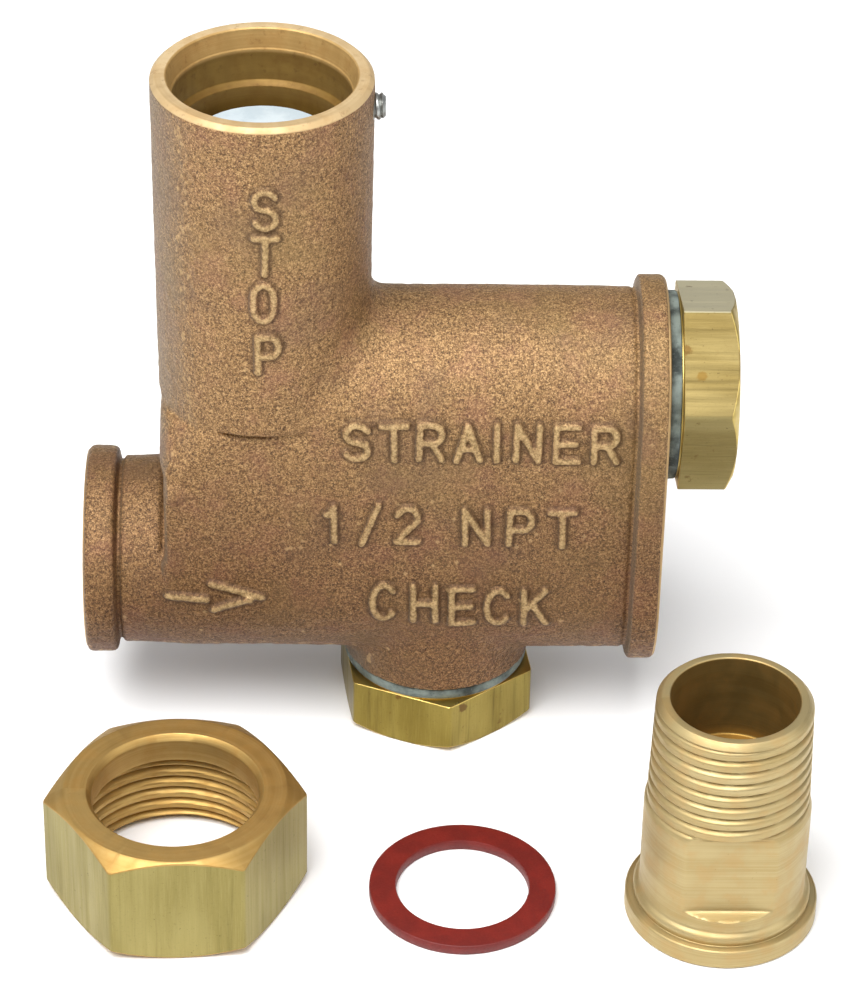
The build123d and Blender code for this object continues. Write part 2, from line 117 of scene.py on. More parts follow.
def soften(points, cut, steps=3):
    """Rounds the corners of an open or closed outline. cut is one size, or one for each corner."""
    p = [np.array(q, float) for q in points]
    n = len(p)
    cut = [cut] * n if np.isscalar(cut) else list(cut)
    out = []
    for i in range(n):
        a, b, c = p[i - 1], p[i], p[(i + 1) % n]
        d = min(cut[i], 0.45 * np.linalg.norm(a - b), 0.45 * np.linalg.norm(c - b))
        if d < 1e-6:
            out.append(b)
            continue
        s = b + (a - b) / np.linalg.norm(a - b) * d
        e = b + (c - b) / np.linalg.norm(c - b) * d
        for k in range(steps + 1):
            t = k / steps
            out.append((1 - t) ** 2 * s + 2 * t * (1 - t) * b + t * t * e)
    return np.array(out)


def rings(R, A, theta, centre, axis="z", poles=(False, False), closed=True):
    """Points and faces of a surface of rings: R and A are (rings, thetas) of radius and place along the axis."""
    m, n = R.shape
    c, s = np.cos(theta), np.sin(theta)
    if axis == "z":
        P = np.stack([centre[0] + R * c, centre[1] + R * s, A], 2)
    else:
        P = np.stack([A, centre[0] + R * c, centre[1] + R * s], 2)
    i = np.arange(m if closed else m - 1)[:, None]
    j = np.arange(n)[None, :]
    i2, j2 = (i + 1) % m, (j + 1) % n
    Q = np.stack([i * n + j, i * n + j2, i2 * n + j2, i2 * n + j], 2).reshape(-1, 4)
    verts = P.reshape(-1, 3)
    tris = []
    for end, row in ((0, 0), (1, m - 1)):
        if poles[end]:
            tip = P[row].mean(0)
            verts = np.vstack([verts, tip])
            k = len(verts) - 1
            a, b = row * n + np.arange(n), row * n + (np.arange(n) + 1) % n
            t = np.stack([b, a, np.full(n, k)], 1) if end == 0 else np.stack([a, b, np.full(n, k)], 1)
            tris.append(t)
    tri = np.vstack(tris) if tris else np.zeros((0, 3), int)
    # outward faces: the sign of the enclosed volume decides
    def vol(f):
        p = verts[f]
        return sum(np.einsum("ij,ij->i", p[:, 0], np.cross(p[:, k], p[:, k + 1])).sum() for k in range(1, f.shape[1] - 1))
    total = vol(Q) + (vol(tri) if len(tri) else 0)
    if total < 0:
        Q, tri = Q[:, ::-1], tri[:, ::-1]
    return verts, Q, tri


def even(n):
    return np.linspace(0, TAU, n, endpoint=False)


def ring_set(profile, theta):
    """(R, A) for a plain lathe profile of (radius, along) points."""
    p = np.asarray(profile)
    return np.repeat(p[:, :1], len(theta), 1), np.repeat(p[:, 1:], len(theta), 1)


def lathe(name, profile, body, node, slot, mat, centre, axis="z", n=128, poles=(False, False), **kw):
    th = even(n)
    R, A = ring_set(profile, th)
    v, q, t = rings(R, A, th, centre, axis, poles, closed=not any(poles))
    return make(name, v, [q, t], body, node, slot, mat, **kw)


def smooth01(x):
    x = np.clip(x, 0, 1)
    return x * x * (3 - 2 * x)


def thread_wave(u, crest=0.3):
    """1 on a thread's crest and 0 in its groove, for u in turns."""
    w = np.abs(2 * (u - np.floor(u)) - 1)
    k = np.clip((w - crest) / (1 - crest), 0, 1)
    return 1 - k ** 1.25 * (1 - 0.12 * (1 - k))


def lattice(rng, shape, cells):
    """Smooth noise in about -1..1 on a grid, from random values that are cells apart."""
    out = None
    for ax, (n, c) in enumerate(zip(shape, cells)):
        k = int(math.ceil(n / c)) + 2
        x = np.arange(n) / c
        i = np.floor(x).astype(int)
        f = smooth01(x - i).astype(np.float32)
        W = np.zeros((n, k), np.float32)
        W[np.arange(n), i] = 1 - f
        W[np.arange(n), i + 1] += f
        if out is None:
            ks = [int(math.ceil(a / b)) + 2 for a, b in zip(shape, cells)]
            out = rng.uniform(-1, 1, ks).astype(np.float32)
        out = np.moveaxis(np.tensordot(W, np.moveaxis(out, ax, 0), axes=(1, 0)), 0, ax)
    return out


# ---- materials ---------------------------------------------------------------
def srgb(r, g, b):
    f = lambda c: c / 12.92 if c <= 0.04045 else ((c + 0.055) / 1.055) ** 2.4
    return (f(r / 255), f(g / 255), f(b / 255), 1)


class Mat:
    """A short way to write node materials. Coordinates are the object's own, in mm."""

    def __init__(self, name, metallic=0.0, rough=0.5):
        self.m = bpy.data.materials.new(name)
        self.m.use_nodes = True
        self.t = self.m.node_tree
        self.b = self.t.nodes["Principled BSDF"]
        self.b.inputs["Metallic"].default_value = metallic
        self.b.inputs["Roughness"].default_value = rough
        tc = self.t.nodes.new("ShaderNodeTexCoord")
        self.xyz = self.scale(tc.outputs["Object"], (1000, 1000, 1000))

    def put(self, socket, value):
        if isinstance(value, bpy.types.NodeSocket):
            self.t.links.new(value, socket)
        else:
            socket.default_value = value

    def scale(self, vec, by, loc=(0, 0, 0), rot=(0, 0, 0)):
        n = self.t.nodes.new("ShaderNodeMapping")
        self.put(n.inputs["Vector"], vec)
        n.inputs["Scale"].default_value = by
        n.inputs["Location"].default_value = loc
        n.inputs["Rotation"].default_value = rot
        return n.outputs[0]

    def noise(self, size, detail=2.0, rough=0.5, vec=None, distort=0.0, stretch=None, loc=(0, 0, 0)):
        """Noise whose features are about size mm across, 0..1. stretch multiplies the size along each axis."""
        vec = vec or self.xyz
        if stretch or any(loc):
            vec = self.scale(vec, tuple(1 / s for s in (stretch or (1, 1, 1))), loc)
        n = self.t.nodes.new("ShaderNodeTexNoise")
        self.put(n.inputs["Vector"], vec)
        n.inputs["Scale"].default_value = 1 / size
        n.inputs["Detail"].default_value = detail
        n.inputs["Roughness"].default_value = rough
        n.inputs["Distortion"].default_value = distort
        return n.outputs["Fac"]

    def voronoi(self, size, vec=None, feature="F1"):
        n = self.t.nodes.new("ShaderNodeTexVoronoi")
        n.feature = feature
        self.put(n.inputs["Vector"], vec or self.xyz)
        n.inputs["Scale"].default_value = 1 / size
        return n.outputs["Distance"]

    def ramp(self, fac, stops, mode="LINEAR"):
        n = self.t.nodes.new("ShaderNodeValToRGB")
        n.color_ramp.interpolation = mode
        el = n.color_ramp.elements
        while len(el) < len(stops):
            el.new(0.5)
        for e, (p, c) in zip(el, sorted(stops, key=lambda s: s[0])):
            e.position = p
            e.color = c if len(c) == 4 else (*c, 1)
        self.put(n.inputs["Fac"], fac)
        return n.outputs["Color"]

    def span(self, fac, a, b, lo=0.0, hi=1.0):
        n = self.t.nodes.new("ShaderNodeMapRange")
        n.interpolation_type = "SMOOTHSTEP"
        self.put(n.inputs["Value"], fac)
        n.inputs["From Min"].default_value = a
        n.inputs["From Max"].default_value = b
        n.inputs["To Min"].default_value = lo
        n.inputs["To Max"].default_value = hi
        return n.outputs["Result"]

    def mix(self, fac, a, b, mode="MIX"):
        n = self.t.nodes.new("ShaderNodeMix")
        n.data_type = "RGBA"
        n.blend_type = mode
        self.put(n.inputs[0], fac)
        self.put(n.inputs[6], a)
        self.put(n.inputs[7], b)
        return n.outputs[2]

    def math(self, op, a, b=0.0, c=None):
        n = self.t.nodes.new("ShaderNodeMath")
        n.operation = op
        self.put(n.inputs[0], a)
        self.put(n.inputs[1], b)
        if c is not None:
            self.put(n.inputs[2], c)
        return n.outputs[0]

    def split(self, vec=None):
        n = self.t.nodes.new("ShaderNodeSeparateXYZ")
        self.put(n.inputs[0], vec or self.xyz)
        return n.outputs[0], n.outputs[1], n.outputs[2]

    def join(self, x, y, z):
        n = self.t.nodes.new("ShaderNodeCombineXYZ")
        for s, v in zip(n.inputs, (x, y, z)):
            self.put(s, v)
        return n.outputs[0]

    def polar(self, centre, axis="z"):
        """(angle in turns, radius, along) about an axis, from the object's own coordinates."""
        x, y, z = self.split()
        a, b, c = (x, y, z) if axis == "z" else (y, z, x)
        a = self.math("SUBTRACT", a, centre[0])
        b = self.math("SUBTRACT", b, centre[1])
        ang = self.math("DIVIDE", self.math("ARCTAN2", b, a), TAU)
        rad = self.math("SQRT", self.math("ADD", self.math("MULTIPLY", a, a), self.math("MULTIPLY", b, b)))
        return ang, rad, c

    def normal_axis(self, axis):
        """How far the surface faces along the object's own axis, -1..1."""
        tc = self.t.nodes.new("ShaderNodeTexCoord")
        n = self.t.nodes.new("ShaderNodeSeparateXYZ")
        self.put(n.inputs[0], tc.outputs["Normal"])
        return n.outputs["XYZ".index(axis)]

    def edges(self, lo=0.46, hi=0.56):
        """0 in hollows and 1 on edges."""
        g = self.t.nodes.new("ShaderNodeNewGeometry")
        return self.span(g.outputs["Pointiness"], lo, hi)

    def bump(self, height, depth_mm, normal=None, strength=1.0):
        n = self.t.nodes.new("ShaderNodeBump")
        n.inputs["Strength"].default_value = strength
        n.inputs["Distance"].default_value = depth_mm * 0.001
        self.put(n.inputs["Height"], height)
        if normal is not None:
            self.put(n.inputs["Normal"], normal)
        return n.outputs[0]

    def out(self, color=None, rough=None, normal=None, metallic=None):
        for key, v in (("Base Color", color), ("Roughness", rough), ("Normal", normal), ("Metallic", metallic)):
            if v is not None:
                self.put(self.b.inputs[key], v)
        return self.m


def cast_bronze():
    k = Mat("cast_bronze", 0.45, 0.55)
    big = k.noise(17, 3, 0.55)
    patch = k.noise(6.5, 4, 0.62, loc=(31, 7, 3))
    patch2 = k.noise(11, 3, 0.55, loc=(3, 50, 20))
    grain = k.noise(0.40, 3, 0.75)
    fine = k.noise(0.21, 2, 0.8, loc=(5, 5, 5))
    clump = k.noise(1.5, 3, 0.6, loc=(9, 2, 4))
    base = k.ramp(grain, [(0.27, srgb(60, 42, 24)), (0.42, srgb(110, 80, 48)), (0.55, srgb(144, 109, 68)), (0.73, srgb(198, 161, 108))])
    base = k.mix(k.span(fine, 0.5, 0.70, 0, 0.85), base, srgb(206, 170, 120))
    base = k.mix(k.span(fine, 0.48, 0.30, 0, 0.85), base, srgb(60, 38, 22))
    base = k.mix(k.span(clump, 0.42, 0.30, 0, 0.35), base, srgb(104, 74, 48))
    base = k.mix(k.span(patch, 0.46, 0.7, 0, 0.5), base, k.mix(0.5, base, srgb(150, 98, 84)))
    base = k.mix(k.span(big, 0.52, 0.34, 0, 0.3), base, srgb(132, 110, 66))
    base = k.mix(k.span(patch2, 0.52, 0.7, 0, 0.28), base, srgb(102, 76, 60))
    x, y, z = k.split()
    # painted shade: the casting's colour is painted darker towards its bottom
    low = k.span(z, 60, 16, 0, 0.62)
    base = k.mix(low, base, k.mix(1.0, base, srgb(166, 138, 120), "MULTIPLY"))
    # painted shade by facing: faces turned to -X are painted a dull grey and faces turned to +X are painted darker
    side = k.span(k.normal_axis("X"), -0.55, -0.95, 0, 0.4)
    base = k.mix(side, base, srgb(118, 112, 100))
    base = k.mix(k.span(k.normal_axis("X"), 0.5, 0.98, 0, 0.35), base, k.mix(1.0, base, srgb(170, 150, 128), "MULTIPLY"))
    at = k.t.nodes.new("ShaderNodeAttribute")
    at.attribute_name = "relief"
    d = k.math("ADD", at.outputs["Fac"], k.math("MULTIPLY", k.math("SUBTRACT", k.noise(0.7, 2, 0.6, loc=(8, 8, 1)), 0.5), 0.5))
    crest = k.span(d, -0.02, -0.38, 0, 1)
    # painted shade: a dark band is painted round the foot of each raised letter and arrow stroke
    foot = k.math("MULTIPLY", k.span(d, -0.22, 0.06, 0, 1), k.span(d, 0.62, 0.2, 0, 1))
    base = k.mix(k.math("MULTIPLY", foot, 0.6), base, k.mix(0.5, base, srgb(62, 40, 22)))
    base = k.mix(k.math("MULTIPLY", foot, 0.3), base, srgb(74, 50, 28))
    base = k.mix(k.math("MULTIPLY", crest, 0.55), base, k.mix(k.span(grain, 0.3, 0.65), srgb(150, 122, 76), srgb(212, 184, 132)))
    edge = k.edges(0.53, 0.62)
    base = k.mix(k.math("MULTIPLY", edge, 0.4), base, srgb(206, 172, 120))
    # painted shade: hollows, found by low pointiness, are painted dark
    base = k.mix(k.math("MULTIPLY", k.edges(0.46, 0.36), 0.5), base, srgb(70, 46, 28))
    h = k.math("ADD", k.math("MULTIPLY", grain, 0.75), k.math("MULTIPLY", fine, 0.4))
    h = k.math("ADD", h, k.math("MULTIPLY", clump, 0.5))
    rough = k.span(grain, 0.3, 0.7, 0.64, 0.48)
    return k.out(base, rough, k.bump(h, 0.16, strength=1.0))


def turned(name, colour, dark, light, centre, axis, pitch=0.16, rough=0.3, depth=0.006, tint=None, metallic=0.95, chatter=0.0, patch=0.35, bore_shade=None, radial=1.0, bands=0.55):
    """A turned surface: fine rings from the tool, faint bands round the axis, and small stains. Given a bore (radius,
    height, upper colour, lower colour), the bore's inside is painted lighter above that height and darker below it:
    painted light and painted shade.
    """
    k = Mat(name, metallic, rough)
    ang, rad, along = k.polar(centre, axis)
    coord = k.math("ADD", k.math("MULTIPLY", rad, radial), along)
    ring = k.join(k.math("MULTIPLY", coord, 1 / pitch), k.math("MULTIPLY", ang, 3.0), 0.0)
    fine = k.noise(1.0, 2, 0.6, vec=ring)
    band = k.noise(1.0, 2, 0.5, vec=k.join(k.math("MULTIPLY", coord, 0.5), k.math("MULTIPLY", ang, 1.5), 4.0))
    blot = k.noise(3.2, 4, 0.6)
    speck = k.noise(0.55, 3, 0.7, loc=(4, 9, 2))
    base = k.mix(k.span(band, 0.35, 0.68), srgb(*dark), srgb(*light))
    base = k.mix(bands, base, srgb(*colour))
    base = k.mix(k.span(fine, 0.35, 0.7, 0.0, 0.28), base, srgb(*light))
    if tint:
        base = k.mix(k.span(blot, 0.47, 0.66, 0, patch), base, srgb(*tint))
    base = k.mix(k.span(speck, 0.66, 0.8, 0, 0.35), base, srgb(*[int(c * 0.6) for c in dark]))
    h = k.math("ADD", fine, k.math("MULTIPLY", speck, 0.6))
    nrm = k.bump(h, depth)
    if chatter:
        c = k.noise(1.0, 1, 0.5, vec=k.join(k.math("MULTIPLY", ang, 46.0), k.math("MULTIPLY", along, 0.12), 1.0))
        nrm = k.bump(c, chatter, nrm)
        base = k.mix(k.span(c, 0.4, 0.65, 0, 0.3), base, srgb(*dark))
    if bore_shade:
        if chatter:
            base = k.mix(k.span(k.noise(1.1, 4, 0.65, loc=(2, 2, 7)), 0.58, 0.70, 0, 0.45), base, srgb(150, 116, 76))
        # painted light and shade inside the bore: the upper colour is a painted light, the lower colour a painted shade
        shade = k.mix(k.span(along, bore_shade[1], bore_shade[1] + 0.6), srgb(*bore_shade[3]), srgb(*bore_shade[2]))
        base = k.mix(k.span(rad, bore_shade[0] + 0.1, bore_shade[0] - 0.1), base, k.mix(1.0, base, shade, "MULTIPLY"))
    r = k.span(blot, 0.3, 0.7, rough - 0.05, rough + 0.1)
    return k.out(base, r, nrm)


def drawn(name, colour, dark, light, axis, rough=0.32, stains=True, streaks=0.4, spots=(), painted_facet_light=False):
    """Drawn hexagon bar: long fine scratches along the bar, stains, small pits, a few spots, and, if asked, painted
    light and shade by which way a facet faces.
    """
    k = Mat(name, 0.9, rough)
    along = {"x": (30, 1, 1), "z": (1, 1, 30)}[axis]
    fine = k.noise(0.12, 2, 0.6, stretch=along)
    streak = k.noise(0.7, 3, 0.6, stretch=along, loc=(3, 3, 3))
    wide = k.noise(5.0, 2, 0.5, stretch=(along[0] ** 0.4, 1, along[2] ** 0.4))
    blot = k.noise(2.4, 4, 0.62, loc=(7, 1, 8))
    grit = k.noise(0.3, 3, 0.7, loc=(6, 6, 2))
    pit = k.noise(0.5, 2, 0.5, loc=(1, 2, 8))
    base = k.mix(k.span(wide, 0.35, 0.65), srgb(*dark), srgb(*light))
    base = k.mix(0.65, base, srgb(*colour))
    base = k.mix(k.span(streak, 0.56, 0.74, 0, streaks), base, srgb(*[int(c * 0.7) for c in dark]))
    base = k.mix(k.span(fine, 0.45, 0.7, 0, 0.22), base, srgb(*light))
    base = k.mix(k.span(grit, 0.55, 0.72, 0, 0.22), base, srgb(*[int(c * 0.8) for c in dark]))
    if painted_facet_light:                                   # painted light by facet direction: the flat facing straight up is painted pale, a painted reflection, and the facets facing up and forward are painted a little darker and warmer, a painted shade
        nz = k.normal_axis("Z")
        base = k.mix(k.math("MULTIPLY", k.span(nz, 0.4, 0.6), k.span(nz, 0.9, 0.8)), base, k.mix(1.0, base, srgb(214, 208, 200), "MULTIPLY"))
        base = k.mix(k.span(nz, 0.84, 0.94, 0, 0.85), base, srgb(216, 208, 176))
    if stains:
        base = k.mix(k.span(blot, 0.64, 0.72, 0, 0.6), base, srgb(96, 66, 26))
    for at, size, tone in spots:
        v = k.t.nodes.new("ShaderNodeVectorMath")
        v.operation = "DISTANCE"
        k.put(v.inputs[0], k.xyz)
        v.inputs[1].default_value = at
        d = k.math("ADD", v.outputs["Value"], k.math("MULTIPLY", k.math("SUBTRACT", k.noise(0.8, 3, 0.6), 0.5), size * 1.6))
        base = k.mix(k.span(d, size, size * 0.6, 0, 0.75), base, srgb(*tone))
    base = k.mix(k.span(pit, 0.7, 0.78, 0, 0.55), base, srgb(70, 54, 26))
    h = k.math("ADD", k.math("MULTIPLY", fine, 0.5), k.math("MULTIPLY", streak, 0.45))
    h = k.math("ADD", h, k.math("MULTIPLY", grit, 0.35))
    r = k.span(streak, 0.35, 0.7, rough - 0.04, rough + 0.1)
    return k.out(base, r, k.bump(h, 0.010))


def plain(name, colour, dark, light, metallic, rough, size=0.5, depth=0.02, coat=0.0, even_out=0.5):
    """A moulded or sheet finish: fine grain, soft mottling."""
    k = Mat(name, metallic, rough)
    grain = k.noise(size, 3, 0.65)
    soft = k.noise(size * 9, 3, 0.55, loc=(2, 8, 5))
    base = k.mix(k.span(soft, 0.35, 0.65), srgb(*dark), srgb(*light))
    base = k.mix(even_out, base, srgb(*colour))
    base = k.mix(k.span(grain, 0.55, 0.75, 0, 0.4), base, srgb(*light))
    base = k.mix(k.span(grain, 0.42, 0.28, 0, 0.45), base, srgb(*dark))
    k.b.inputs["Coat Weight"].default_value = coat
    return k.out(base, k.span(grain, 0.3, 0.7, rough + 0.08, rough - 0.05), k.bump(grain, depth))


M_CAST = cast_bronze()
# the tower's socket gets painted light in its upper step and painted shade lower down
M_RIM = turned("machined_bronze_tower", (206, 178, 132), (180, 150, 104), (224, 200, 158), (XT, 0), "z", 0.22, 0.52, 0.012, (176, 138, 84), metallic=0.5, chatter=0.03, bore_shade=(12.2, 93.9, (226, 212, 176), (152, 134, 78)))
M_INLET = turned("machined_bronze_ports", (190, 158, 112), (164, 128, 82), (212, 184, 138), (0, ZR), "x", 0.22, 0.45, 0.008, (160, 122, 70), metallic=0.7)
M_FACE = turned("machined_bronze_face", (178, 148, 104), (160, 128, 86), (194, 166, 122), (0, (ZR + ZS) / 2), "x", 0.16, 0.46, 0.010, (160, 124, 76), metallic=0.75, patch=0.18, bands=0.85)
M_SPORT = turned("machined_bronze_strainer_port", (204, 168, 118), (176, 134, 84), (226, 194, 146), (0, ZS), "x", 0.22, 0.36, 0.008, (170, 128, 70))
M_BOSS = turned("machined_bronze_boss", (204, 168, 118), (176, 134, 84), (226, 194, 146), (0, 0), "z", 0.22, 0.36, 0.008, (170, 128, 70))
M_CAPZ = drawn("drawn_brass_upright", (130, 113, 50), (102, 84, 32), (160, 143, 78), "z", 0.34, spots=(((3.4, -12.7, 6.9), 0.9, (84, 52, 22)), ((6.5, -11.6, 7.3), 0.6, (96, 60, 26)), ((-5.4, -11.5, 7.5), 0.7, (100, 66, 28))))
# the level cap gets painted light on its upward flat and painted shade on its upper front facets
M_CAPX = drawn("drawn_brass_level", (142, 128, 80), (118, 100, 52), (170, 156, 108), "x", 0.5, streaks=0.25, painted_facet_light=True, spots=(((33.2, -9.6, ZS + 7.6), 0.9, (110, 84, 34)), ((33.4, -11.6, ZS + 2.6), 0.85, (150, 108, 36)), ((36.3, -12.9, ZS - 2.8), 0.6, (104, 86, 48)), ((31.4, -7.4, ZS + 10.2), 0.8, (96, 70, 30))))
M_CAPZ_T = turned("turned_brass_check_cap", (186, 160, 88), (160, 132, 62), (208, 184, 118), (0, 0), "z", 0.16, 0.32, 0.007, (186, 120, 50), patch=0.2, bands=0.85)
M_CAPX_T = turned("turned_brass_strainer_cap", (186, 164, 96), (160, 136, 68), (208, 188, 124), (0, ZS), "x", 0.16, 0.34, 0.007, (166, 126, 62), patch=0.15, bands=0.85)
M_NUT_S = drawn("drawn_brass_nut", (146, 134, 80), (126, 114, 64), (166, 154, 102), "z", 0.46, stains=False, streaks=0.14)
M_NUT_T = turned("turned_brass_nut", (174, 141, 80), (142, 106, 50), (198, 168, 108), (NX, NY), "z", 0.3, 0.48, 0.012, (172, 122, 54), metallic=0.85, patch=0.22, bands=0.75)
# the tailpiece's bore gets painted shade below z 90
M_TAIL = turned("turned_brass_tailpiece", (170, 151, 104), (150, 126, 76), (194, 178, 138), (TX, TY), "z", 0.24, 0.46, 0.008, (190, 150, 92), metallic=0.8, radial=0.0, bands=0.8, patch=0.25, bore_shade=(8.2, 90.0, (255, 255, 255), (214, 190, 136)))
M_FIBRE = plain("grey_fibre", (72, 80, 75), (34, 40, 37), (124, 134, 127), 0.0, 0.8, 0.42, 0.06, even_out=0.15)
M_RED = plain("red_fibre", (102, 15, 7), (64, 8, 5), (130, 30, 16), 0.0, 0.5, 0.3, 0.02, even_out=0.8)
M_ACETAL = plain("white_acetal", (178, 192, 200), (164, 180, 190), (196, 208, 214), 0.0, 0.4, 0.4, 0.01)
M_STEEL = plain("zinc_steel", (150, 152, 148), (92, 94, 92), (196, 198, 194), 0.9, 0.36, 0.35, 0.012)
M_STAIN = plain("stainless", (168, 168, 164), (122, 122, 120), (206, 206, 202), 0.95, 0.28, 0.3, 0.006)
M_RUBBER = plain("black_rubber", (26, 26, 27), (14, 14, 15), (44, 44, 45), 0.0, 0.6, 0.35, 0.02)
M_INNER = turned("turned_brass_inside", (196, 166, 96), (150, 118, 60), (224, 198, 134), (XT, 0), "z", 0.24, 0.32, 0.006, (168, 120, 60))


# ---- the casting -------------------------------------------------------------
def seg2(px, pz, a, b):
    """Distance from grid points to the line a-b in the XZ plane."""
    ax, az = a
    dx, dz = b[0] - ax, b[1] - az
    t = np.clip(((px - ax) * dx + (pz - az) * dz) / (dx * dx + dz * dz), 0, 1)
    return np.hypot(px - ax - t * dx, pz - az - t * dz)


def arc(cx, cy, rx, ry, a0, a1, n=9):
    return [(cx + rx * math.cos(math.radians(a0 + (a1 - a0) * i / n)), cy + ry * math.sin(math.radians(a0 + (a1 - a0) * i / n))) for i in range(n + 1)]


GLYPHS = {
    "S": [arc(0, .25, .46, .25, 20, 265, 10) + arc(0, -.25, .46, .25, 85, -160, 10)],
    "T": [[(-.5, .5), (.5, .5)], [(0, .5), (0, -.5)]],
    "R": [[(-.46, -.5), (-.46, .5), (.12, .5)] + arc(.12, .24, .34, .26, 90, -90, 8) + [(-.46, -.02)], [(.08, -.02), (.46, -.5)]],
    "A": [[(-.48, -.5), (0, .5), (.48, -.5)], [(-.27, -.17), (.27, -.17)]],
    "I": [[(0, .5), (0, -.5)]],
    "N": [[(-.46, -.5), (-.46, .5), (.46, -.5), (.46, .5)]],
    "E": [[(.44, .5), (-.46, .5), (-.46, -.5), (.44, -.5)], [(-.46, 0), (.34, 0)]],
    "C": [arc(.02, 0, .48, .5, 42, 318, 14)],
    "H": [[(-.46, .5), (-.46, -.5)], [(.46, .5), (.46, -.5)], [(-.46, 0), (.46, 0)]],
    "K": [[(-.46, .5), (-.46, -.5)], [(.44, .5), (-.44, -.08)], [(-.12, .12), (.48, -.5)]],
    "O": [arc(0, .14, .44, .36, 0, 180, 8) + arc(0, -.14, .44, .36, 180, 360, 8) + [(.44, .14)]],
    "P": [[(-.42, -.5), (-.42, .5), (.14, .5)] + arc(.14, .22, .34, .28, 90, -90, 8) + [(-.42, -.06)]],
    "1": [[(-.24, .28), (.06, .5), (.06, -.5)]],
    "2": [arc(0, .2, .42, .3, 165, -15, 9) + [(-.44, -.5), (.46, -.5)]],
    "/": [[(.34, .58), (-.34, -.58)]],
}
ROWS = [
    ("STRAINER", [(-11.12, 50.66), (-6.3, 50.55), (-1.59, 50.72), (3.23, 50.6), (6.94, 50.62), (10.94, 50.6), (16.07, 50.5), (20.97, 50.4)], 3.15, 5.15, 1.08, (0, 1.0, -1.0, 1.5, 0.5, -1.5, 0.5, 1.0)),
    ("1/2 NPT", [(-14.2, 37.75), (-9.3, 37.7), (-4.4, 37.6), (0, 0), (4.6, 37.35), (10.3, 37.25), (15.9, 37.1)], 3.2, 5.35, 1.06, (1, 0, -1, 0, 1.5, -1.0, 0.5)),
    ("CHECK", [(-7.43, 25.05), (-2.01, 24.9), (3.09, 24.45), (7.75, 24.3), (12.69, 24.3)], 3.15, 5.45, 1.08, (-1, 0.5, 1.0, -1.0, 1.0)),
    ("STOP", [(-22.71, 85.97), (-22.75, 79.22), (-22.99, 72.41), (-22.53, 64.65)], 2.95, 5.25, 1.02, (1.5, -1.0, 0, 1.0)),
]
MARKS = [  # flow arrow, and small lumps left by the pattern
    ([(-36.0, 25.75), (-30.9, 25.3)], 1.2), ([(-30.2, 27.75), (-23.6, 25.65)], 1.15), ([(-29.9, 23.65), (-25.2, 25.3)], 1.1),
    ([(-35.2, 42.6), (-33.6, 42.1)], 1.2), ([(-35.3, 41.6), (-34.9, 41.0)], 1.0),
]


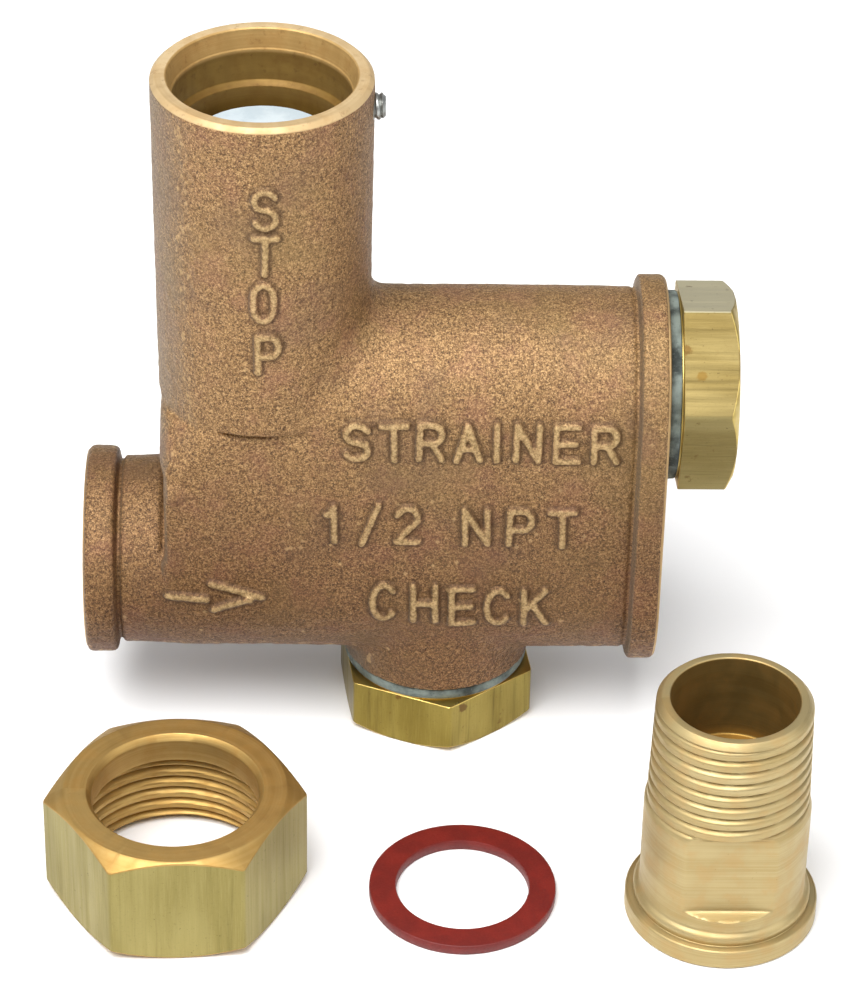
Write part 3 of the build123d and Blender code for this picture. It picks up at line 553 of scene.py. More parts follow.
def casting():
    h = 0.26
    lo = np.array([X_IN - 1.2, -15.8, Z_BOSS - 1.2])
    hi = np.array([X_OUT + 1.2, 15.8, Z_TOP + 1.0])
    nx, ny, nz = [int(math.ceil(v)) + 1 for v in (hi - lo) / h]
    x = (lo[0] + h * np.arange(nx, dtype=np.float32))[:, None, None]
    y = (lo[1] + h * np.arange(ny, dtype=np.float32))[None, :, None]
    z = (lo[2] + h * np.arange(nz, dtype=np.float32))[None, None, :]

    def smin(a, b, k):
        t = np.clip(0.5 + 0.5 * (b - a) / k, 0, 1)
        return b + (a - b) * t - k * t * (1 - t)

    def smax(a, b, k):
        return -smin(-a, -b, k)

    ry = np.abs(y)
    zc, half = (ZR + ZS) / 2, (ZS - ZR) / 2
    across = np.hypot(ry, np.maximum(np.abs(z - zc) - half, 0))         # stadium section
    slab = smax(across - 12.93, np.maximum(X_OUT - 1 - x, 0) * 0 + np.maximum(x - (X_OUT - 1.0), XT - x), 0.6)
    # squared shoulder below the tower, its front corners sloped back into it
    sx = np.maximum(-36.75 - x, x - XT - 9)
    qx, qy = np.maximum(sx + 1.3, 0), np.maximum(ry - 12.9 + 1.3, 0)
    plan = np.hypot(qx, qy) + np.minimum(np.maximum(sx + 1.3, ry - 12.9 + 1.3), 0) - 1.3
    slope = (z - 43.0 - 1.28 * (x + 36.5 + 12.9 - ry)) / 2.07
    sh = smax(plan, slope, 1.6)
    sh = smax(sh, np.maximum(z - 51.75, ZR - z), 1.6)
    sh = smax(sh, across - 12.95, 0.3)
    body = smin(np.where(x < XT + 1, 9.0, slab), sh, 0.12)
    # tower: its front stands a little proud and ends in a short step above the flat side
    rt = np.hypot(x - XT, y)
    R = 13.78 + (z - 41) / 56.3 * 0.32
    tower = smax(rt - R, np.maximum(51.35 - z, z - Z_TOP), 0.7)
    blend = 0.6 + 3.0 * smooth01((z - ZS - 3) / 8) * smooth01((x - XT - 3) / 7)  # wider fillet towards the strainer side
    body = smin(body, tower, blend)
    # run, neck and inlet bead
    rr = np.hypot(y, z - ZR)
    run = np.maximum(rr - 12.35 - 0.58 * smooth01((x + 42) / 10), np.maximum(-42 - x, x - XT - 8))
    body = smin(body, run, 0.15)
    neck = smax(rr - 12.35, np.maximum(X_IN - x, x + 30), 0.3)
    body = smin(body, neck, 1.1)
    bead = smax(rr - 13.93, np.maximum(X_IN - x, x - (X_IN + 4.3)), 1.1)
    body = smin(body, bead, 0.8)
    # oblong outlet flange
    fl = smax(across - 14.5, np.maximum(X_OUT - 3.9 - x, x - X_OUT), 0.9)
    body = smin(body, fl, 1.0)
    # check boss
    rb = np.hypot(x, y)
    boss = smax(rb - 12.7, np.maximum(Z_BOSS - z, z - ZR), 0.3)
    body = smin(body, boss, 1.5)
    del slab, sh, plan, slope, tower, blend, run, neck, bead, fl, boss, qx, qy
    # narrow creases where the pattern's parts met
    def groove(centre_d, along_d, depth, width, where):
        g = depth * np.exp(-(centre_d / width) ** 2) * smooth01(along_d / 2.0)
        np.add(body, g * where, out=body)

    groove(x + 36.5, (7.6 - np.abs(z - ZR - 13.2)), 0.6, 0.5, (rr > 10) * 1.0)
    groove(x - (X_IN + 4.65), 3.0 + 0 * z, 0.36, 0.36, (rr > 10.5) * 1.0)
    groove(x - (X_OUT - 4.15), 3.0 + 0 * z, 0.34, 0.34, (across > 10.5) * 1.0)
    groove(z - 51.2, 6.9 - np.abs(x - XT - 0.4), 0.30, 0.5, (y < 0) * 1.0)
    # raised lettering and arrow on the lettered side
    relief = np.full((nx, nz), 9.0, np.float32)
    for word, at, w, tall, stroke, tilt in ROWS:
        for ch, (cx, cz), tl in zip(word, at, tilt):
            if ch == " ":
                continue
            i0, i1 = int((cx - w - lo[0]) / h), int((cx + w - lo[0]) / h) + 2
            k0, k1 = int((cz - tall - lo[2]) / h), int((cz + tall - lo[2]) / h) + 2
            px, pz = x[i0:i1, 0, :], z[:, 0, k0:k1]
            ca, sa = math.cos(math.radians(tl)), math.sin(math.radians(tl))
            d = None
            for line in GLYPHS[ch]:
                pts = [(cx + u * w * ca - v * tall * sa, cz + u * w * sa + v * tall * ca) for u, v in line]
                for a, b in zip(pts, pts[1:]):
                    if abs(a[0] - b[0]) + abs(a[1] - b[1]) > 1e-6:
                        e = seg2(px, pz, a, b)
                        d = e if d is None else np.minimum(d, e)
            j1 = ny // 2
            part = body[i0:i1, :j1, k0:k1]
            raised = smax((d - stroke / 2)[:, None, :], part - 0.56, 0.32)
            body[i0:i1, :j1, k0:k1] = smin(part, raised, 0.3)
            relief[i0:i1, k0:k1] = np.minimum(relief[i0:i1, k0:k1], d - stroke / 2)
    for num, (pts, width) in enumerate(MARKS):
        cx, cz = np.mean(pts, 0)
        i0, i1 = int((cx - 6 - lo[0]) / h), int((cx + 6 - lo[0]) / h)
        k0, k1 = int((cz - 4 - lo[2]) / h), int((cz + 4 - lo[2]) / h)
        d = seg2(x[i0:i1, 0, :], z[:, 0, k0:k1], *pts)
        j1 = ny // 2
        part = body[i0:i1, :j1, k0:k1]
        if num > 2:                                                    # pattern lumps: low and soft
            body[i0:i1, :j1, k0:k1] = smin(part, smax((d - width / 2)[:, None, :], part - 0.42, 0.6), 0.7)
            continue
        body[i0:i1, :j1, k0:k1] = smin(part, smax((d - width / 2)[:, None, :], part - 0.5, 0.35), 0.3)
        relief[i0:i1, k0:k1] = np.minimum(relief[i0:i1, k0:k1], d - width / 2)
    # sand grain, and slow unevenness of the cast walls
    rng = np.random.default_rng(618)
    shape = (nx, ny, nz)
    body += 0.09 * lattice(rng, shape, (9 / h,) * 3)
    body += 0.03 * lattice(rng, shape, (1.7 / h,) * 3)
    body += 0.035 * lattice(rng, shape, (0.8 / h,) * 3)
    body += 0.035 * lattice(rng, shape, (0.5 / h,) * 3)

    # machined faces and bores; the liners made below sit in the wider bores
    def cut(d):
        np.maximum(body, -d, out=body)

    cut(np.maximum(rt - 9.4, np.maximum(39.0 - z, z - 80)))
    cut(np.maximum(rt - 12.7, 78.0 - z))
    cut(np.minimum(Z_TOP - 0.35 - z, np.maximum((Z_TOP + 0.02 - z) * 0.70 + (13.42 - rt) * 0.72, Z_TOP - 2.0 - z)))
    seat = np.maximum(rt - 6.3, np.maximum(38.4 - z, z - 39.9))
    np.minimum(body, seat, out=body)
    cut(np.maximum(rt - 5.0, np.maximum(ZR - z, z - 40.5)))
    cut(np.maximum(rr - 8.2, np.maximum(X_IN - x, x + 15.5)))
    cut(np.maximum(rr - 10.7, x - (X_IN + 15.6)))
    cut(x - (X_IN + 0.12))
    rs = np.hypot(y, z - ZS)
    cut(np.maximum(rs - 6.5, np.maximum(XT - x, x + 9)))
    cut(np.maximum(rs - 9.0, np.maximum(-11 - x, x + 9)))
    cut(np.maximum(rs - 10.2, np.maximum(-9.2 - x, x - 25)))
    cut(np.maximum(rs - 11.6, 17.0 - x))
    cut(np.maximum(rr - 8.2, np.maximum(-x, x - 25)))
    cut(np.maximum(rr - 10.7, X_OUT - 16 - x))
    cut(X_OUT - 0.3 - x)
    cut(np.maximum(rb - 5.0, np.maximum(20 - z, z - ZS)))
    cut(np.maximum(rb - 8.6, np.maximum(Z_BOSS - z, z - 35.5)))
    np.minimum(body, np.maximum(np.maximum(rb - 6.3, 5.0 - rb), np.maximum(34.9 - z, z - 37)), out=body)
    cut(np.maximum(rb - 10.6, z - 19))
    cut(z - (Z_BOSS + 0.3))
    rk = np.hypot(y, z - ZK)
    cut(np.maximum(rk - 1.8, np.maximum(XT + 10.5 - x, x - XT - 16)))
    np.clip(body, -3 * h, 3 * h, out=body)
    g = openvdb.FloatGrid(3 * h)
    g.copyFromArray(np.ascontiguousarray(body, dtype=np.float32))
    pts, tri, quad = g.convertToPolygons(isovalue=0.0, adaptivity=0.0)
    pts = lo + pts.astype(np.float64) * h
    pts[:, 1] = np.clip(pts[:, 1], -14.58, 14.58)
    tri, quad = np.asarray(tri, np.int64), np.asarray(quad, np.int64)
    p = pts[quad]
    vol = np.einsum("ij,ij->i", p[:, 0], np.cross(p[:, 1], p[:, 2])).sum() + np.einsum("ij,ij->i", p[:, 0], np.cross(p[:, 2], p[:, 3])).sum()
    if vol < 0:
        quad, tri = quad[:, ::-1], tri[:, ::-1]
    ob = make("casting", pts, [quad, tri], "valve_body", "valve_body", "cast_bronze", M_CAST, sharp=0, weighted=False)
    fx, fz = (pts[:, 0] - lo[0]) / h, (pts[:, 2] - lo[2]) / h
    i, k = np.clip(fx.astype(int), 0, nx - 2), np.clip(fz.astype(int), 0, nz - 2)
    u, w = fx - i, fz - k
    d = (relief[i, k] * (1 - u) + relief[i + 1, k] * u) * (1 - w) + (relief[i, k + 1] * (1 - u) + relief[i + 1, k + 1] * u) * w
    outer = (pts[:, 1] < -9.5) & (np.hypot(pts[:, 0] - XT, pts[:, 1]) > 12.8)
    a = ob.data.attributes.new("relief", "FLOAT", "POINT")
    if len(ob.data.vertices) == len(pts):
        a.data.foreach_set("value", np.where(outer, np.clip(d, -1, 3), 3.0).astype(np.float32))
    return ob


casting()


def body_ring(name, profile, mat, centre, axis, n=144):
    return lathe(name, profile, "valve_body", "valve_body", "cast_bronze", mat, centre, axis, n)


# machined mouth of the tower: rim, stepped socket and thread relief
rim = soften([
    (9.5, 77.2), (10.1, 77.9), (10.1, 80.0), (10.7, 80.6), (10.7, 89.55), (10.95, 89.75), (11.36, 90.2), (11.38, 94.5), (11.5, 94.68), (11.97, Z_TOP - 0.5), (12.0, Z_TOP - 0.18), (12.18, Z_TOP),
    (13.5, Z_TOP), (14.12, Z_TOP - 0.6), (13.7, Z_TOP - 1.25), (12.95, Z_TOP - 1.3), (12.95, 77.2),
], [0, .2, .1, .1, .12, .06, .1, .06, .06, .1, .06, .08, .12, .1, 0, 0, 0], 3)
mouth = body_ring("tower_mouth", rim, M_RIM, (XT, 0), "z", 192)


def drill(ob, x0, x1, z, r, n=48):
    """A cross hole through a finished piece, along X."""
    a = even(n)
    y, h = r * np.cos(a), z + r * np.sin(a)
    v = np.vstack([np.stack([np.full(n, x), y, h], 1) for x in (x0, x1)]) * 0.001
    me = bpy.data.meshes.new("drill")
    side = [(i, (i + 1) % n, n + (i + 1) % n, n + i) for i in range(n)]
    me.from_pydata(v.tolist(), [], [tuple(range(n))[::-1], tuple(range(n, 2 * n))] + side)
    cutter = bpy.data.objects.new("drill", me)
    SC.collection.objects.link(cutter)
    for m in list(ob.modifiers):
        ob.modifiers.remove(m)
    m = ob.modifiers.new("hole", "BOOLEAN")
    m.operation, m.solver, m.object = "DIFFERENCE", "EXACT", cutter
    bpy.context.view_layer.update()
    new = bpy.data.meshes.new_from_object(ob.evaluated_get(bpy.context.evaluated_depsgraph_get()))
    ob.modifiers.remove(m)
    bpy.data.objects.remove(cutter)
    bpy.data.meshes.remove(me)
    if len(new.polygons) > 1000:
        new.polygons.foreach_set("use_smooth", np.ones(len(new.polygons), dtype=bool))
        new.set_sharp_from_angle(angle=math.radians(38))
        ob.data = new
    w = ob.modifiers.new("weighted", "WEIGHTED_NORMAL")
    w.keep_sharp = True
    w.weight = 60


drill(mouth, XT + 10.5, XT + 16.0, ZK, 1.8)


def port(name, x0, into, centre, r, mouth, face, mat, turns=14.0, pitch=1.814, outer=None):
    """A tapered pipe thread in a port. into is +1 or -1 along X, from the machined face at x0."""
    th = even(144)
    L, step = turns, 0.13
    s = np.arange(0.9, L, step)
    lead = [(face, 0.0), (mouth + 0.35, 0.0), (mouth, 0.25)]
    rows_r = [np.full(len(th), a) for a, _ in lead]
    rows_a = [np.full(len(th), b) for _, b in lead]
    for v in s:
        base = r + 0.55 - v / 32.0
        fade = smooth01((v - 0.7) / 1.6) * smooth01((L - v) / 1.5)
        u = into * v / pitch - th / TAU
        rows_r.append(base - 0.95 * thread_wave(u) * fade - 0.1)
        rows_a.append(np.full(len(th), v))
    back = [(r - 0.2, L + 0.2), (8.2, L + 1.1), (8.2, L + 1.6), (r + 1.75, L + 1.6), (r + 1.75, 0.9)]
    if outer:
        back += outer
    else:
        back += [(face, 0.9)]
    for a, b in back:
        rows_r.append(np.full(len(th), a))
        rows_a.append(np.full(len(th), b))
    R, A = np.array(rows_r), np.array(rows_a)
    v, q, t = rings(R, x0 + into * A, th, centre, "x")
    make(name, v, [q, t], "valve_body", "valve_body", "cast_bronze", mat, sharp=42)


port("inlet_mouth", X_IN, 1, (0, ZR), 9.3, 10.2, 13.0, M_INLET, outer=[(13.1, 0.9), (13.38, 0.14), (13.3, 0.02)])
port("outlet_mouth", X_OUT, -1, (0, ZR), 9.3, 10.2, 10.9, M_INLET)


def loop_points(n=72, r=14.05):
    """The oblong flange's outline in (y, z)."""
    out = []
    for i in range(n + 1):
        a = math.pi * i / n
        out.append((r * math.cos(a), ZS + r * math.sin(a)))
    for i in range(n + 1):
        a = math.pi + math.pi * i / n
        out.append((r * math.cos(a), ZR + r * math.sin(a)))
    return out


def flange_face():
    """The machined face of the oblong flange, a thin plate with two port openings."""
    outer = [loop_points(72, r) for r in (14.28, 14.2, 14.05, 13.9)]
    xs_o = [X_OUT - 0.6, X_OUT - 0.16, X_OUT - 0.03, X_OUT]
    hole = lambda c, r, n=96: [(r * math.cos(TAU * i / n), c + r * math.sin(TAU * i / n)) for i in range(n)]
    rs = [10.88, 10.88], [11.0, 11.0]
    verts, quads, tris = [], [], []

    def loop(pts, xx):
        k = len(verts)
        verts.extend((xx, a, b) for a, b in pts)
        return list(range(k, k + len(pts)))

    def wall(a, b):
        n = len(a)
        quads.extend((a[i], a[(i + 1) % n], b[(i + 1) % n], b[i]) for i in range(n))

    ids = [loop(p, xx) for p, xx in zip(outer, xs_o)]
    for a, b in zip(ids, ids[1:]):
        wall(a, b)
    h1f, h1b = loop(hole(ZR, 10.88), X_OUT), loop(hole(ZR, 10.88), X_OUT - 0.6)
    h2f, h2b = loop(hole(ZS, 11.15), X_OUT), loop(hole(ZS, 11.15), X_OUT - 0.6)
    wall(h1b, h1f)
    wall(h2b, h2f)
    for o, a, b, flip in ((ids[-1], h1f, h2f, False), (ids[0], h1b, h2b, True)):
        order = o + a + b
        polys = [[Vector((verts[i][1], verts[i][2], 0)) for i in g] for g in (o, a[::-1], b[::-1])]
        flat = o + a[::-1] + b[::-1]
        for t in tessellate_polygon(polys):
            f = tuple(flat[i] for i in t)
            tris.append(f[::-1] if flip else f)
    # every face outward: away from the plate's middle, decided by its own direction
    V = np.array(verts)
    fixed_q, fixed_t = [], []
    for f in quads:
        p = V[list(f)]
        nrm = np.cross(p[1] - p[0], p[2] - p[0])
        c = p.mean(0)
        if f[0] in h1f + h1b + h2f + h2b or f[1] in h1f + h1b + h2f + h2b:
            cz = ZR if abs(c[2] - ZR) < abs(c[2] - ZS) else ZS
            want = np.array([0, -c[1], cz - c[2]])
        else:
            cz = min(max(c[2], ZR), ZS)
            want = np.array([0.5, c[1], c[2] - cz])
        fixed_q.append(f if nrm @ want > 0 else f[::-1])
    for f in tris:
        p = V[list(f)]
        nrm = np.cross(p[1] - p[0], p[2] - p[0])
        want = 1 if p[:, 0].mean() > X_OUT - 0.3 else -1
        fixed_t.append(f if nrm[0] * want > 0 else f[::-1])
    make("flange_face", V, [np.array(fixed_q), np.array(fixed_t)], "valve_body", "valve_body", "cast_bronze", M_FACE, sharp=30)


flange_face()


def straight_thread(name, x0, into, centre, axis, r_in, depth, pitch, length, mouth, outer_r, mat, n=144):
    """A machined, threaded wall: the cap's seat in the casting."""
    th = even(n)
    rows_r, rows_a = [], []

    def add(a, b):
        rows_r.append(np.full(n, a))
        rows_a.append(np.full(n, b))

    add(outer_r, 0.0)
    add(mouth + 0.1, 0.0)
    add(mouth, 0.08)
    for v in np.arange(0.5, length, 0.13):
        fade = smooth01((v - 0.4) / 1.2) * smooth01((length - v) / 1.2)
        u = into * v / pitch - th / TAU
        rows_r.append(r_in + depth - depth * thread_wave(u) * fade)
        rows_a.append(np.full(n, v))
    add(r_in + depth, length + 0.1)
    add(outer_r, length + 0.1)
    R, A = np.array(rows_r), np.array(rows_a)
    v, q, t = rings(R, x0 + into * A, th, centre, axis)
    make(name, v, [q, t], "valve_body", "valve_body", "cast_bronze", mat, sharp=42)


straight_thread("strainer_mouth", X_OUT - 0.02, -1, (0, ZS), "x", 10.56, 0.5, 1.5, 11.0, 11.1, 11.9, M_SPORT)
straight_thread("check_mouth", Z_BOSS, 1, (0, 0), "z", 9.58, 0.5, 1.5, 9.2, 10.1, 10.85, M_BOSS)
boss_face = soften([(10.7, Z_BOSS), (12.2, Z_BOSS), (12.66, Z_BOSS + 0.42), (12.3, Z_BOSS + 0.8), (10.7, Z_BOSS + 0.8)], [0, .1, .1, 0, 0], 2)
body_ring("boss_face", boss_face, M_BOSS, (0, 0), "z", 144)


# ---- set screw ---------------------------------------------------------------
def set_screw():
    th = even(72)
    rows_r, rows_a = [], []

    def add(r, a):
        rows_r.append(np.full(72, r) if np.isscalar(r) else r)
        rows_a.append(np.full(72, a))

    x0, x1 = K0[0], K1[0]
    add(0.35, x0)
    add(1.2, x0)
    add(1.42, x0 + 0.25)
    for v in np.arange(x0 + 0.35, x1 - 0.22, 0.06):
        fade = smooth01((v - x0 - 0.3) / 0.3) * smooth01((x1 - 0.15 - v) / 0.3)
        rows_r.append(1.42 + 0.3 * thread_wave(v / 0.8 - th / TAU) * fade)
        rows_a.append(np.full(72, v))
    add(1.38, x1 - 0.12)
    add(1.28, x1)
    hexr = 0.82 / np.cos(((th + math.pi / 6) % (math.pi / 3)) - math.pi / 6)
    add(hexr + 0.06, x1)
    add(hexr, x1 - 0.07)
    add(hexr, x1 - 1.3)
    add(0.3, x1 - 1.6)
    v, q, t = rings(np.array(rows_r), np.array(rows_a), th, (0, ZK), "x", (True, True), closed=False)
    make("grub_screw", v, [q, t], "set_screw", "set_screw", "zinc_steel", M_STEEL, sharp=40)


set_screw()


# ---- hexagon pieces ----------------------------------------------------------
def hex_theta(rot, per=30):
    t = np.linspace(-1, 1, per, endpoint=False)
    phi = math.radians(30) * (1.42 * t - 0.42 * t ** 3)
    return np.concatenate([math.radians(rot + 30 + 60 * s) + phi for s in range(6)])


def hex_radius(th, rot, R, k=0.10):
    phi = (th - math.radians(rot)) % math.radians(60) - math.radians(30)
    r = R * math.cos(math.radians(30)) / np.cos(phi)
    top = R - 0.12
    t = np.clip(0.5 + 0.5 * (top - r) / k, 0, 1)
    return top + (r - top) * t - k * t * (1 - t)


def hex_piece(rot, R, z0, z1, r0, r1, slope0, slope1, inner, e=0.13):
    """Rings of a hexagon with turned chamfers at both ends. r0 and r1 are where the chamfers start, inner the closing rings."""
    th = hex_theta(rot)
    rh = hex_radius(th, rot, R)
    n = len(th)
    d0, d1 = np.maximum(rh - r0, 0) * slope0, np.maximum(rh - r1, 0) * slope1
    rows = [
        (np.minimum(r1 - 0.12, rh - 0.12), np.full(n, z1)),
        (np.minimum(r1 + 0.10, rh - 0.06), z1 - np.maximum(np.minimum(0.10, rh - 0.06 - r1), 0) * slope1),
        (rh - e, z1 - np.maximum(d1 - e * slope1, 0.03)),
        (rh, z1 - d1 - e * 0.8 - 0.03),
        (rh, z0 + d0 + e * 0.8 + 0.03),
        (rh - e, z0 + np.maximum(d0 - e * slope0, 0.03)),
        (np.minimum(r0 + 0.10, rh - 0.06), z0 + np.maximum(np.minimum(0.10, rh - 0.06 - r0), 0) * slope0),
        (np.minimum(r0 - 0.12, rh - 0.12), np.full(n, z0)),
    ]
    for r, a in inner:
        r = np.full(n, r) if np.isscalar(r) else r
        a = np.full(n, a) if np.isscalar(a) else a
        rows.append((r, a))
    return th, np.array([r for r, _ in rows]), np.array([a for _, a in rows])


def split_index(nrings, n, is_hex, closed=True):
    """Material index of each quad: 1 on the hexagon's flats, 0 elsewhere."""
    out = np.zeros((nrings if closed else nrings - 1, n), int)
    for i in is_hex:
        out[i] = 1
    return out.ravel()


def union_nut():
    th = hex_theta(2.8)
    inner = [(14.0, 0.0), (13.75, 0.12), (13.1, 0.85)]
    pitch = 1.814
    zs = np.arange(0.9, 10.9, 0.12)
    for v in zs:
        fade = smooth01((v - 0.5) / 0.9) * smooth01((10.9 - v) / 0.9)
        inner.append((13.45 - 0.95 * thread_wave(v / pitch - th / TAU + 0.2, 0.34) * fade, v))
    inner += [(13.5, 10.95), (13.5, 11.75), (13.35, 11.88), (10.9, 11.9), (10.76, 12.0), (10.75, 12.2), (10.75, NH - 0.95), (10.79, NH - 0.74), (11.28, NH - 0.12), (11.42, NH)]
    th, R, A = hex_piece(2.8, 17.03, 0.0, NH, 14.4, 14.35, 0.577, 0.577, inner)
    v, q, t = rings(R, A, th, (NX, NY), "z")
    make("nut", v, [q, t], "union_nut", "union_nut", "machined_brass", None, sharp=34, mats=[M_NUT_T, M_NUT_S], index=split_index(len(R), len(th), (3,)))


union_nut()


def plug_thread(th, zs, r, depth, pitch, z0, z1, hand=1):
    out = []
    for v in zs:
        fade = smooth01((v - z0) / 0.8) * smooth01((z1 - v) / 0.8)
        out.append((r - depth + depth * thread_wave(v / pitch * hand - th / TAU, 0.12) * fade, v))
    return out


def cap(name, body, node, rot, base, sign, centre, axis, hexT, plug_r, plug_len, inner, mats, face_gap, nodeslot):
    """A hexagon cap: flat end at base, hexagon, turned washer face, threaded plug. inner is its cavity, as (r, along) from the flat end."""
    th = hex_theta(rot)
    top = hexT + 0.25
    rows = [(12.15, hexT), (12.2, hexT + 0.06), (12.2, top - 0.05), (12.12, top), (plug_r - 0.55, top), (plug_r - 0.6, top + 0.2), (plug_r - 0.6, face_gap + 0.3)]
    zs = np.arange(face_gap + 0.3, plug_len, 0.12)
    rows += plug_thread(th, zs, plug_r, 0.5, 1.5, face_gap + 0.2, plug_len + 0.1)
    rows += [(plug_r - 0.75, plug_len + 0.35), (plug_r - 1.0, plug_len + 0.45)] + inner
    hexr = hex_radius(th, rot, 14.17)
    n = len(th)
    e = 0.13
    r1 = 12.3
    d1 = np.maximum(hexr - r1, 0) * 0.577
    head = [
        (np.full(n, 0.02), np.full(n, 0.0)),
        (np.full(n, r1 - 0.12), np.full(n, 0.0)),
        (np.minimum(r1 + 0.1, hexr - 0.05), np.full(n, 0.05)),
        (hexr - e, np.maximum(d1 - e * 0.577, 0.03)),
        (hexr, d1 + e * 0.8 + 0.03),
        (hexr, np.full(n, hexT - 0.07)),
        (hexr - 0.07, np.full(n, hexT)),
    ]
    R = [r for r, _ in head]
    A = [a for _, a in head]
    for r, a in rows:
        R.append(np.full(n, r) if np.isscalar(r) else r)
        A.append(np.full(n, a) if np.isscalar(a) else a)
    R, A = np.array(R), base + sign * np.array(A)
    v, q, t = rings(R, A, th, centre, axis, (True, True), closed=False)
    idx = split_index(len(R), n, (4,), closed=False)
    idx = np.concatenate([idx, np.zeros(len(t), int)])
    make(name, v, [q, t], body, node, nodeslot, None, sharp=34, mats=mats, index=idx)


C0, C1 = mm_box("check_cap")
D0, D1 = mm_box("strainer_cap")
cap("check_plug", "check_cap", "check_cap", 37.2, 0.0, 1, (0, 0), "z", 7.9, 9.5, C1[2] - 0.55,
    [(7.8, C1[2]), (7.6, C1[2] - 0.2), (7.6, 10.3), (7.3, 10.0), (3.7, 10.0), (3.6, 10.1), (3.6, 15.8), (3.4, 16.0), (2.0, 16.0), (1.9, 15.8), (1.9, 5.3), (0.02, 5.0)],
    [M_CAPZ_T, M_CAPZ], 9.65, "cap_brass")
XH = D1[0]
cap("strainer_plug", "strainer_cap", "strainer_cap", 44.5, XH, -1, (0, ZS), "x", 7.25, 10.5, XH - D0[0] - 0.55,
    [(9.0, XH - D0[0]), (8.7, XH - D0[0] - 0.3), (8.7, 9.0), (8.4, 8.6), (0.02, 8.6)],
    [M_CAPX_T, M_CAPX], XH - X_OUT, "cap_brass")


# ---- gaskets -----------------------------------------------------------------
def gasket(name, body, node, slot, mat, centre, axis, a0, a1, r0, r1, seed, wob=0.05):
    rng = np.random.default_rng(seed)
    n = 160
    th = even(n)
    wave = sum(rng.uniform(-1, 1) * np.cos(k * th + rng.uniform(0, TAU)) / k for k in range(2, 9)) * wob
    ro, ri = r1 - 0.05 + wave * 0.6, r0 + 0.04 + wave * 0.5
    prof = [(ri, a0 + 0.15), (ri + 0.12, a0), (ro - 0.14, a0), (ro - 0.02, a0 + 0.14), (ro, (a0 + a1) / 2), (ro - 0.02, a1 - 0.14), (ro - 0.14, a1), (ri + 0.12, a1), (ri, a1 - 0.15)]
    R = np.array([r for r, _ in prof])
    A = np.array([np.full(n, a) for _, a in prof])
    v, q, t = rings(R, A, th, centre, axis)
    make(name, v, [q, t], body, node, slot, mat, sharp=50)


H0, H1 = mm_box("check_cap_gasket")
gasket("check_washer", "check_gasket", "check_cap_gasket", "fibre", M_FIBRE, (0, 0), "z", H0[2], H1[2], 9.75, 12.5, 5)
gasket("strainer_washer", "strainer_gasket", "strainer_cap_gasket", "fibre", M_FIBRE, (0, ZS), "x", G0[0], G1[0], 10.75, 12.5, 6)
gasket("union_washer", "union_gasket", "union_gasket", "red_fibre", M_RED, (GX, GY), "z", 0.0, 1.5, 8.6, 12.2, 7, 0.035)


# ---- tailpiece ---------------------------------------------------------------
def tailpiece():
    n = 216
    th = even(n)
    R, A = [], []

    def add(r, a):
        R.append(np.full(n, r) if np.isscalar(r) else r)
        A.append(np.full(n, a) if np.isscalar(a) else a)

    pitch = 1.814
    flat = 8.95
    # wrench flats front and back; the cutter leaves a soft ledge at their foot
    phi = np.abs(((th / TAU * 360 - 90 + 90) % 180) - 90)        # degrees from the flat's middle
    rf = flat / np.maximum(np.cos(np.radians(phi)), 0.2)

    def flatted(r, z):
        low = smooth01((z - 5.75) / 1.15)
        t = np.minimum(r, rf + (1 - low) * 3.0)
        k = 0.08
        w = np.clip(0.5 + 0.5 * (r - (rf + (1 - low) * 3.0)) / k, 0, 1)
        return r + (rf + (1 - low) * 3.0 - r) * w - k * w * (1 - w)

    add(7.45, 0.0)
    for r, a in soften([(12.12, 0.0), (12.41, 0.25), (12.41, 2.6), (12.15, 2.85)], 0.12, 3):
        add(r, a)
    for r, a in ((11.7, 2.86), (11.36, 2.84), (11.28, 2.92), (11.36, 3.12), (11.42, 3.4), (11.42, 3.75), (11.32, 4.05), (11.1, 4.3), (10.84, 4.48), (10.70, 4.7), (10.67, 5.1)):
        add(r, a)
    for a in np.concatenate([np.arange(5.3, 7.2, 0.1), np.arange(7.2, 17.6, 0.8)]):
        add(flatted(10.67, a), a)
    top = TH
    for a in np.arange(17.6, top - 0.86, 0.11):
        taper = (a - 18.8) / 32.0
        crest = 10.40 - max(taper, 0)
        fade = smooth01((a - 18.2) / 1.1)
        u = a / pitch - th / TAU + 0.35
        r = crest + 0.27 * (1 - smooth01((a - 17.7) / 1.0)) - 0.62 * (1 - thread_wave(u, 0.42)) * fade
        w = 1 - smooth01((a - 18.2) / 1.0)
        add(np.where(w > 0, np.minimum(r, flatted(10.67, a)) * w + r * (1 - w), r), a)
    for r, a in soften([(9.93, top - 0.82), (9.2, top - 0.02), (8.3, top), (8.15, top - 0.15), (8.15, 22.2), (8.0, 22.0), (7.1, 22.0), (7.0, 21.8), (7.0, 0.4), (7.4, 0.0)], 0.06, 2)[0:]:
        add(r, a)
    v, q, t = rings(np.array(R), np.array(A), th, (TX, TY), "z")
    make("tail", v, [q, t], "union_tailpiece", "union_tailpiece", "machined_brass", M_TAIL, sharp=44)


tailpiece()


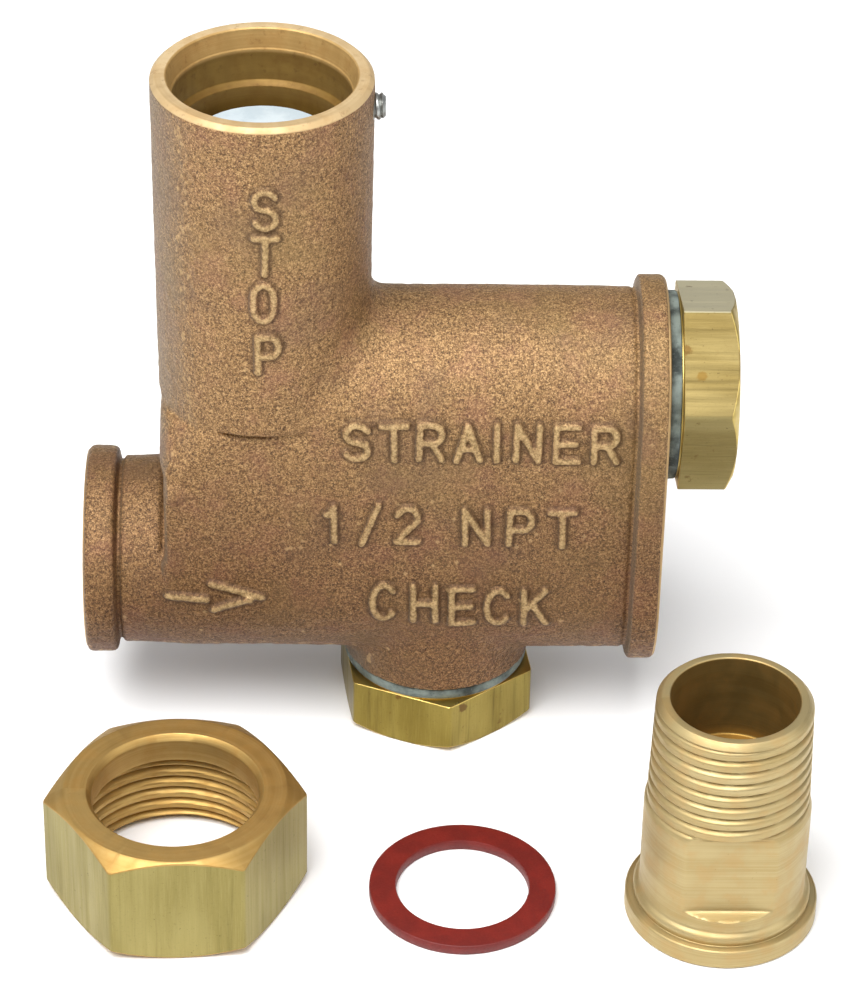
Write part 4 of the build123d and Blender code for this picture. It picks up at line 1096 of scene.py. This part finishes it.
# ---- screen ------------------------------------------------------------------
def screen():
    """A perforated tube: each cell of a grid round the tube has a many-sided hole."""
    E0, E1 = mm_box("strainer_screen")
    x0, x1 = E0[0], E1[0]
    rad, thick = 8.3, 0.4
    cols, rows_n = 40, 30
    cell_x = (x1 - x0 - 5.0) / rows_n
    verts, quads = [], []
    k = 12

    def vid(p):
        verts.append(p)
        return len(verts) - 1

    def at(u, xx, r):
        a = TAU * u / cols
        return (xx, r * math.cos(a), ZS + r * math.sin(a))

    for c in range(cols):
        for r_i in range(rows_n):
            off = 0.5 if r_i % 2 else 0.0
            u0 = c + off
            xa = x0 + 2.5 + r_i * cell_x
            sq = []
            for i in range(k):
                a = TAU * (i + 0.5) / k
                s = 0.5 / max(abs(math.cos(a)), abs(math.sin(a)))
                sq.append((u0 + 0.5 + s * math.cos(a), xa + cell_x * (0.5 + s * math.sin(a))))
            hr = 0.33
            ho = [(u0 + 0.5 + hr * math.cos(TAU * (i + 0.5) / k), xa + cell_x * (0.5 + hr * math.sin(TAU * (i + 0.5) / k))) for i in range(k)]
            loops = []
            for rr_, pts in ((rad, sq), (rad, ho), (rad - thick, ho), (rad - thick, sq)):
                loops.append([vid(at(u, xx, rr_)) for u, xx in pts])
            for a, b in zip(loops, loops[1:]):
                for i in range(k):
                    j = (i + 1) % k
                    quads.append((a[i], b[i], b[j], a[j]))
    make("perforated_tube", verts, [np.array(quads)], "strainer_basket", "strainer_screen", "stainless", M_STAIN, sharp=35, weighted=False)
    for nm, a, b in (("tube_end_near", x0, x0 + 2.5), ("tube_end_far", x1 - 2.5, x1)):
        prof = soften([(rad - thick, a), (rad, a), (rad, b), (rad - thick, b)], 0.08, 2)
        lathe(nm, prof, "strainer_basket", "strainer_screen", "stainless", M_STAIN, (0, ZS), "x", 120)


screen()


# ---- finishes for the pieces kept from the frame -------------------------------
KEEP = {
    "screen_end_ring": M_INNER, "check_poppet": M_INNER, "check_disc_screw": M_INNER, "stop_bonnet": M_INNER, "stop_stem": M_INNER,
    "stop_plunger": M_INNER, "stop_washer_screw": M_INNER, "check_spring": M_STAIN, "stem_retaining_ring": M_STAIN,
    "check_seal_disc": M_RUBBER, "stop_seat_washer": M_RUBBER, "bonnet_o_ring": M_RUBBER, "stem_o_ring": M_RUBBER, "stop_drive_disc": M_ACETAL,
}
for node, mat in KEEP.items():
    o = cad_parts[node]
    o.data.materials.clear()
    o.data.materials.append(mat)


# ---- studio ------------------------------------------------------------------
E, Y, RO = [math.radians(a) for a in (35.21, 1.45, 1.2)]
fw = Vector((math.sin(Y) * math.cos(E), math.cos(Y) * math.cos(E), -math.sin(E)))
rt = Vector((math.cos(Y), -math.sin(Y), 0))
up = rt.cross(fw)
rt2 = rt * math.cos(RO) + up * math.sin(RO)
up2 = -rt * math.sin(RO) + up * math.cos(RO)
cam = bpy.data.cameras.new("camera")
cam.sensor_width = 36
cam.lens = 144
cam.clip_start = 0.01
co = bpy.data.objects.new("camera", cam)
SC.collection.objects.link(co)
M4 = Matrix((rt2, up2, -fw)).transposed().to_4x4()
M4.translation = Vector((-0.012892, -0.438610, 0.341960))
co.matrix_world = M4
SC.camera = co

world = bpy.data.worlds.new("studio")
SC.world = world
world.use_nodes = True
wt = world.node_tree
bg = wt.nodes["Background"]
wc = wt.nodes.new("ShaderNodeTexCoord")
ws = wt.nodes.new("ShaderNodeSeparateXYZ")
wr = wt.nodes.new("ShaderNodeValToRGB")
wm = wt.nodes.new("ShaderNodeMapRange")
wt.links.new(wc.outputs["Generated"], ws.inputs[0])
wt.links.new(ws.outputs[2], wm.inputs["Value"])
wm.inputs["From Min"].default_value = -1
wm.inputs["From Max"].default_value = 1
wt.links.new(wm.outputs["Result"], wr.inputs["Fac"])
el = wr.color_ramp.elements
el[0].position, el[0].color = 0.0, (0.55, 0.55, 0.56, 1)
el[1].position, el[1].color = 1.0, (1, 1, 1, 1)
e2 = el.new(0.5)
e2.color = (0.5, 0.5, 0.51, 1)
e3 = el.new(0.72)
e3.color = (0.82, 0.82, 0.83, 1)
wt.links.new(wr.outputs["Color"], bg.inputs["Color"])
bg.inputs["Strength"].default_value = 0.52

fm = Mat("pale_floor", 0.0, 0.7)
fm.out(fm.mix(fm.span(fm.noise(300, 2), 0.3, 0.7, 0, 0.3), (0.93, 0.93, 0.93, 1), (0.90, 0.90, 0.905, 1)), 0.75)
me = bpy.data.meshes.new("floor")
me.from_pydata([(-3, -3, 0), (3, -3, 0), (3, 3, 0), (-3, 3, 0)], [], [(0, 1, 2, 3)])
me.materials.append(fm.m)
floor = bpy.data.objects.new("floor", me)
SC.collection.objects.link(floor)


def area(name, at, to, size, power, colour=(1, 1, 1)):
    L = bpy.data.lights.new(name, "AREA")
    L.shape = "RECTANGLE"
    L.size, L.size_y = size
    L.energy = power
    L.color = colour
    o = bpy.data.objects.new(name, L)
    o.location = at
    o.rotation_euler = (Vector(to) - Vector(at)).to_track_quat("-Z", "Y").to_euler()
    SC.collection.objects.link(o)


area("key", (-0.16, -0.34, 0.72), (0, 0, 0.04), (0.62, 0.52), 9.8)
area("fill", (0.75, -0.35, 0.45), (0, 0, 0.04), (0.5, 0.7), 2.2)
area("left", (-0.8, -0.1, 0.4), (0, 0, 0.04), (0.5, 0.7), 1.0)
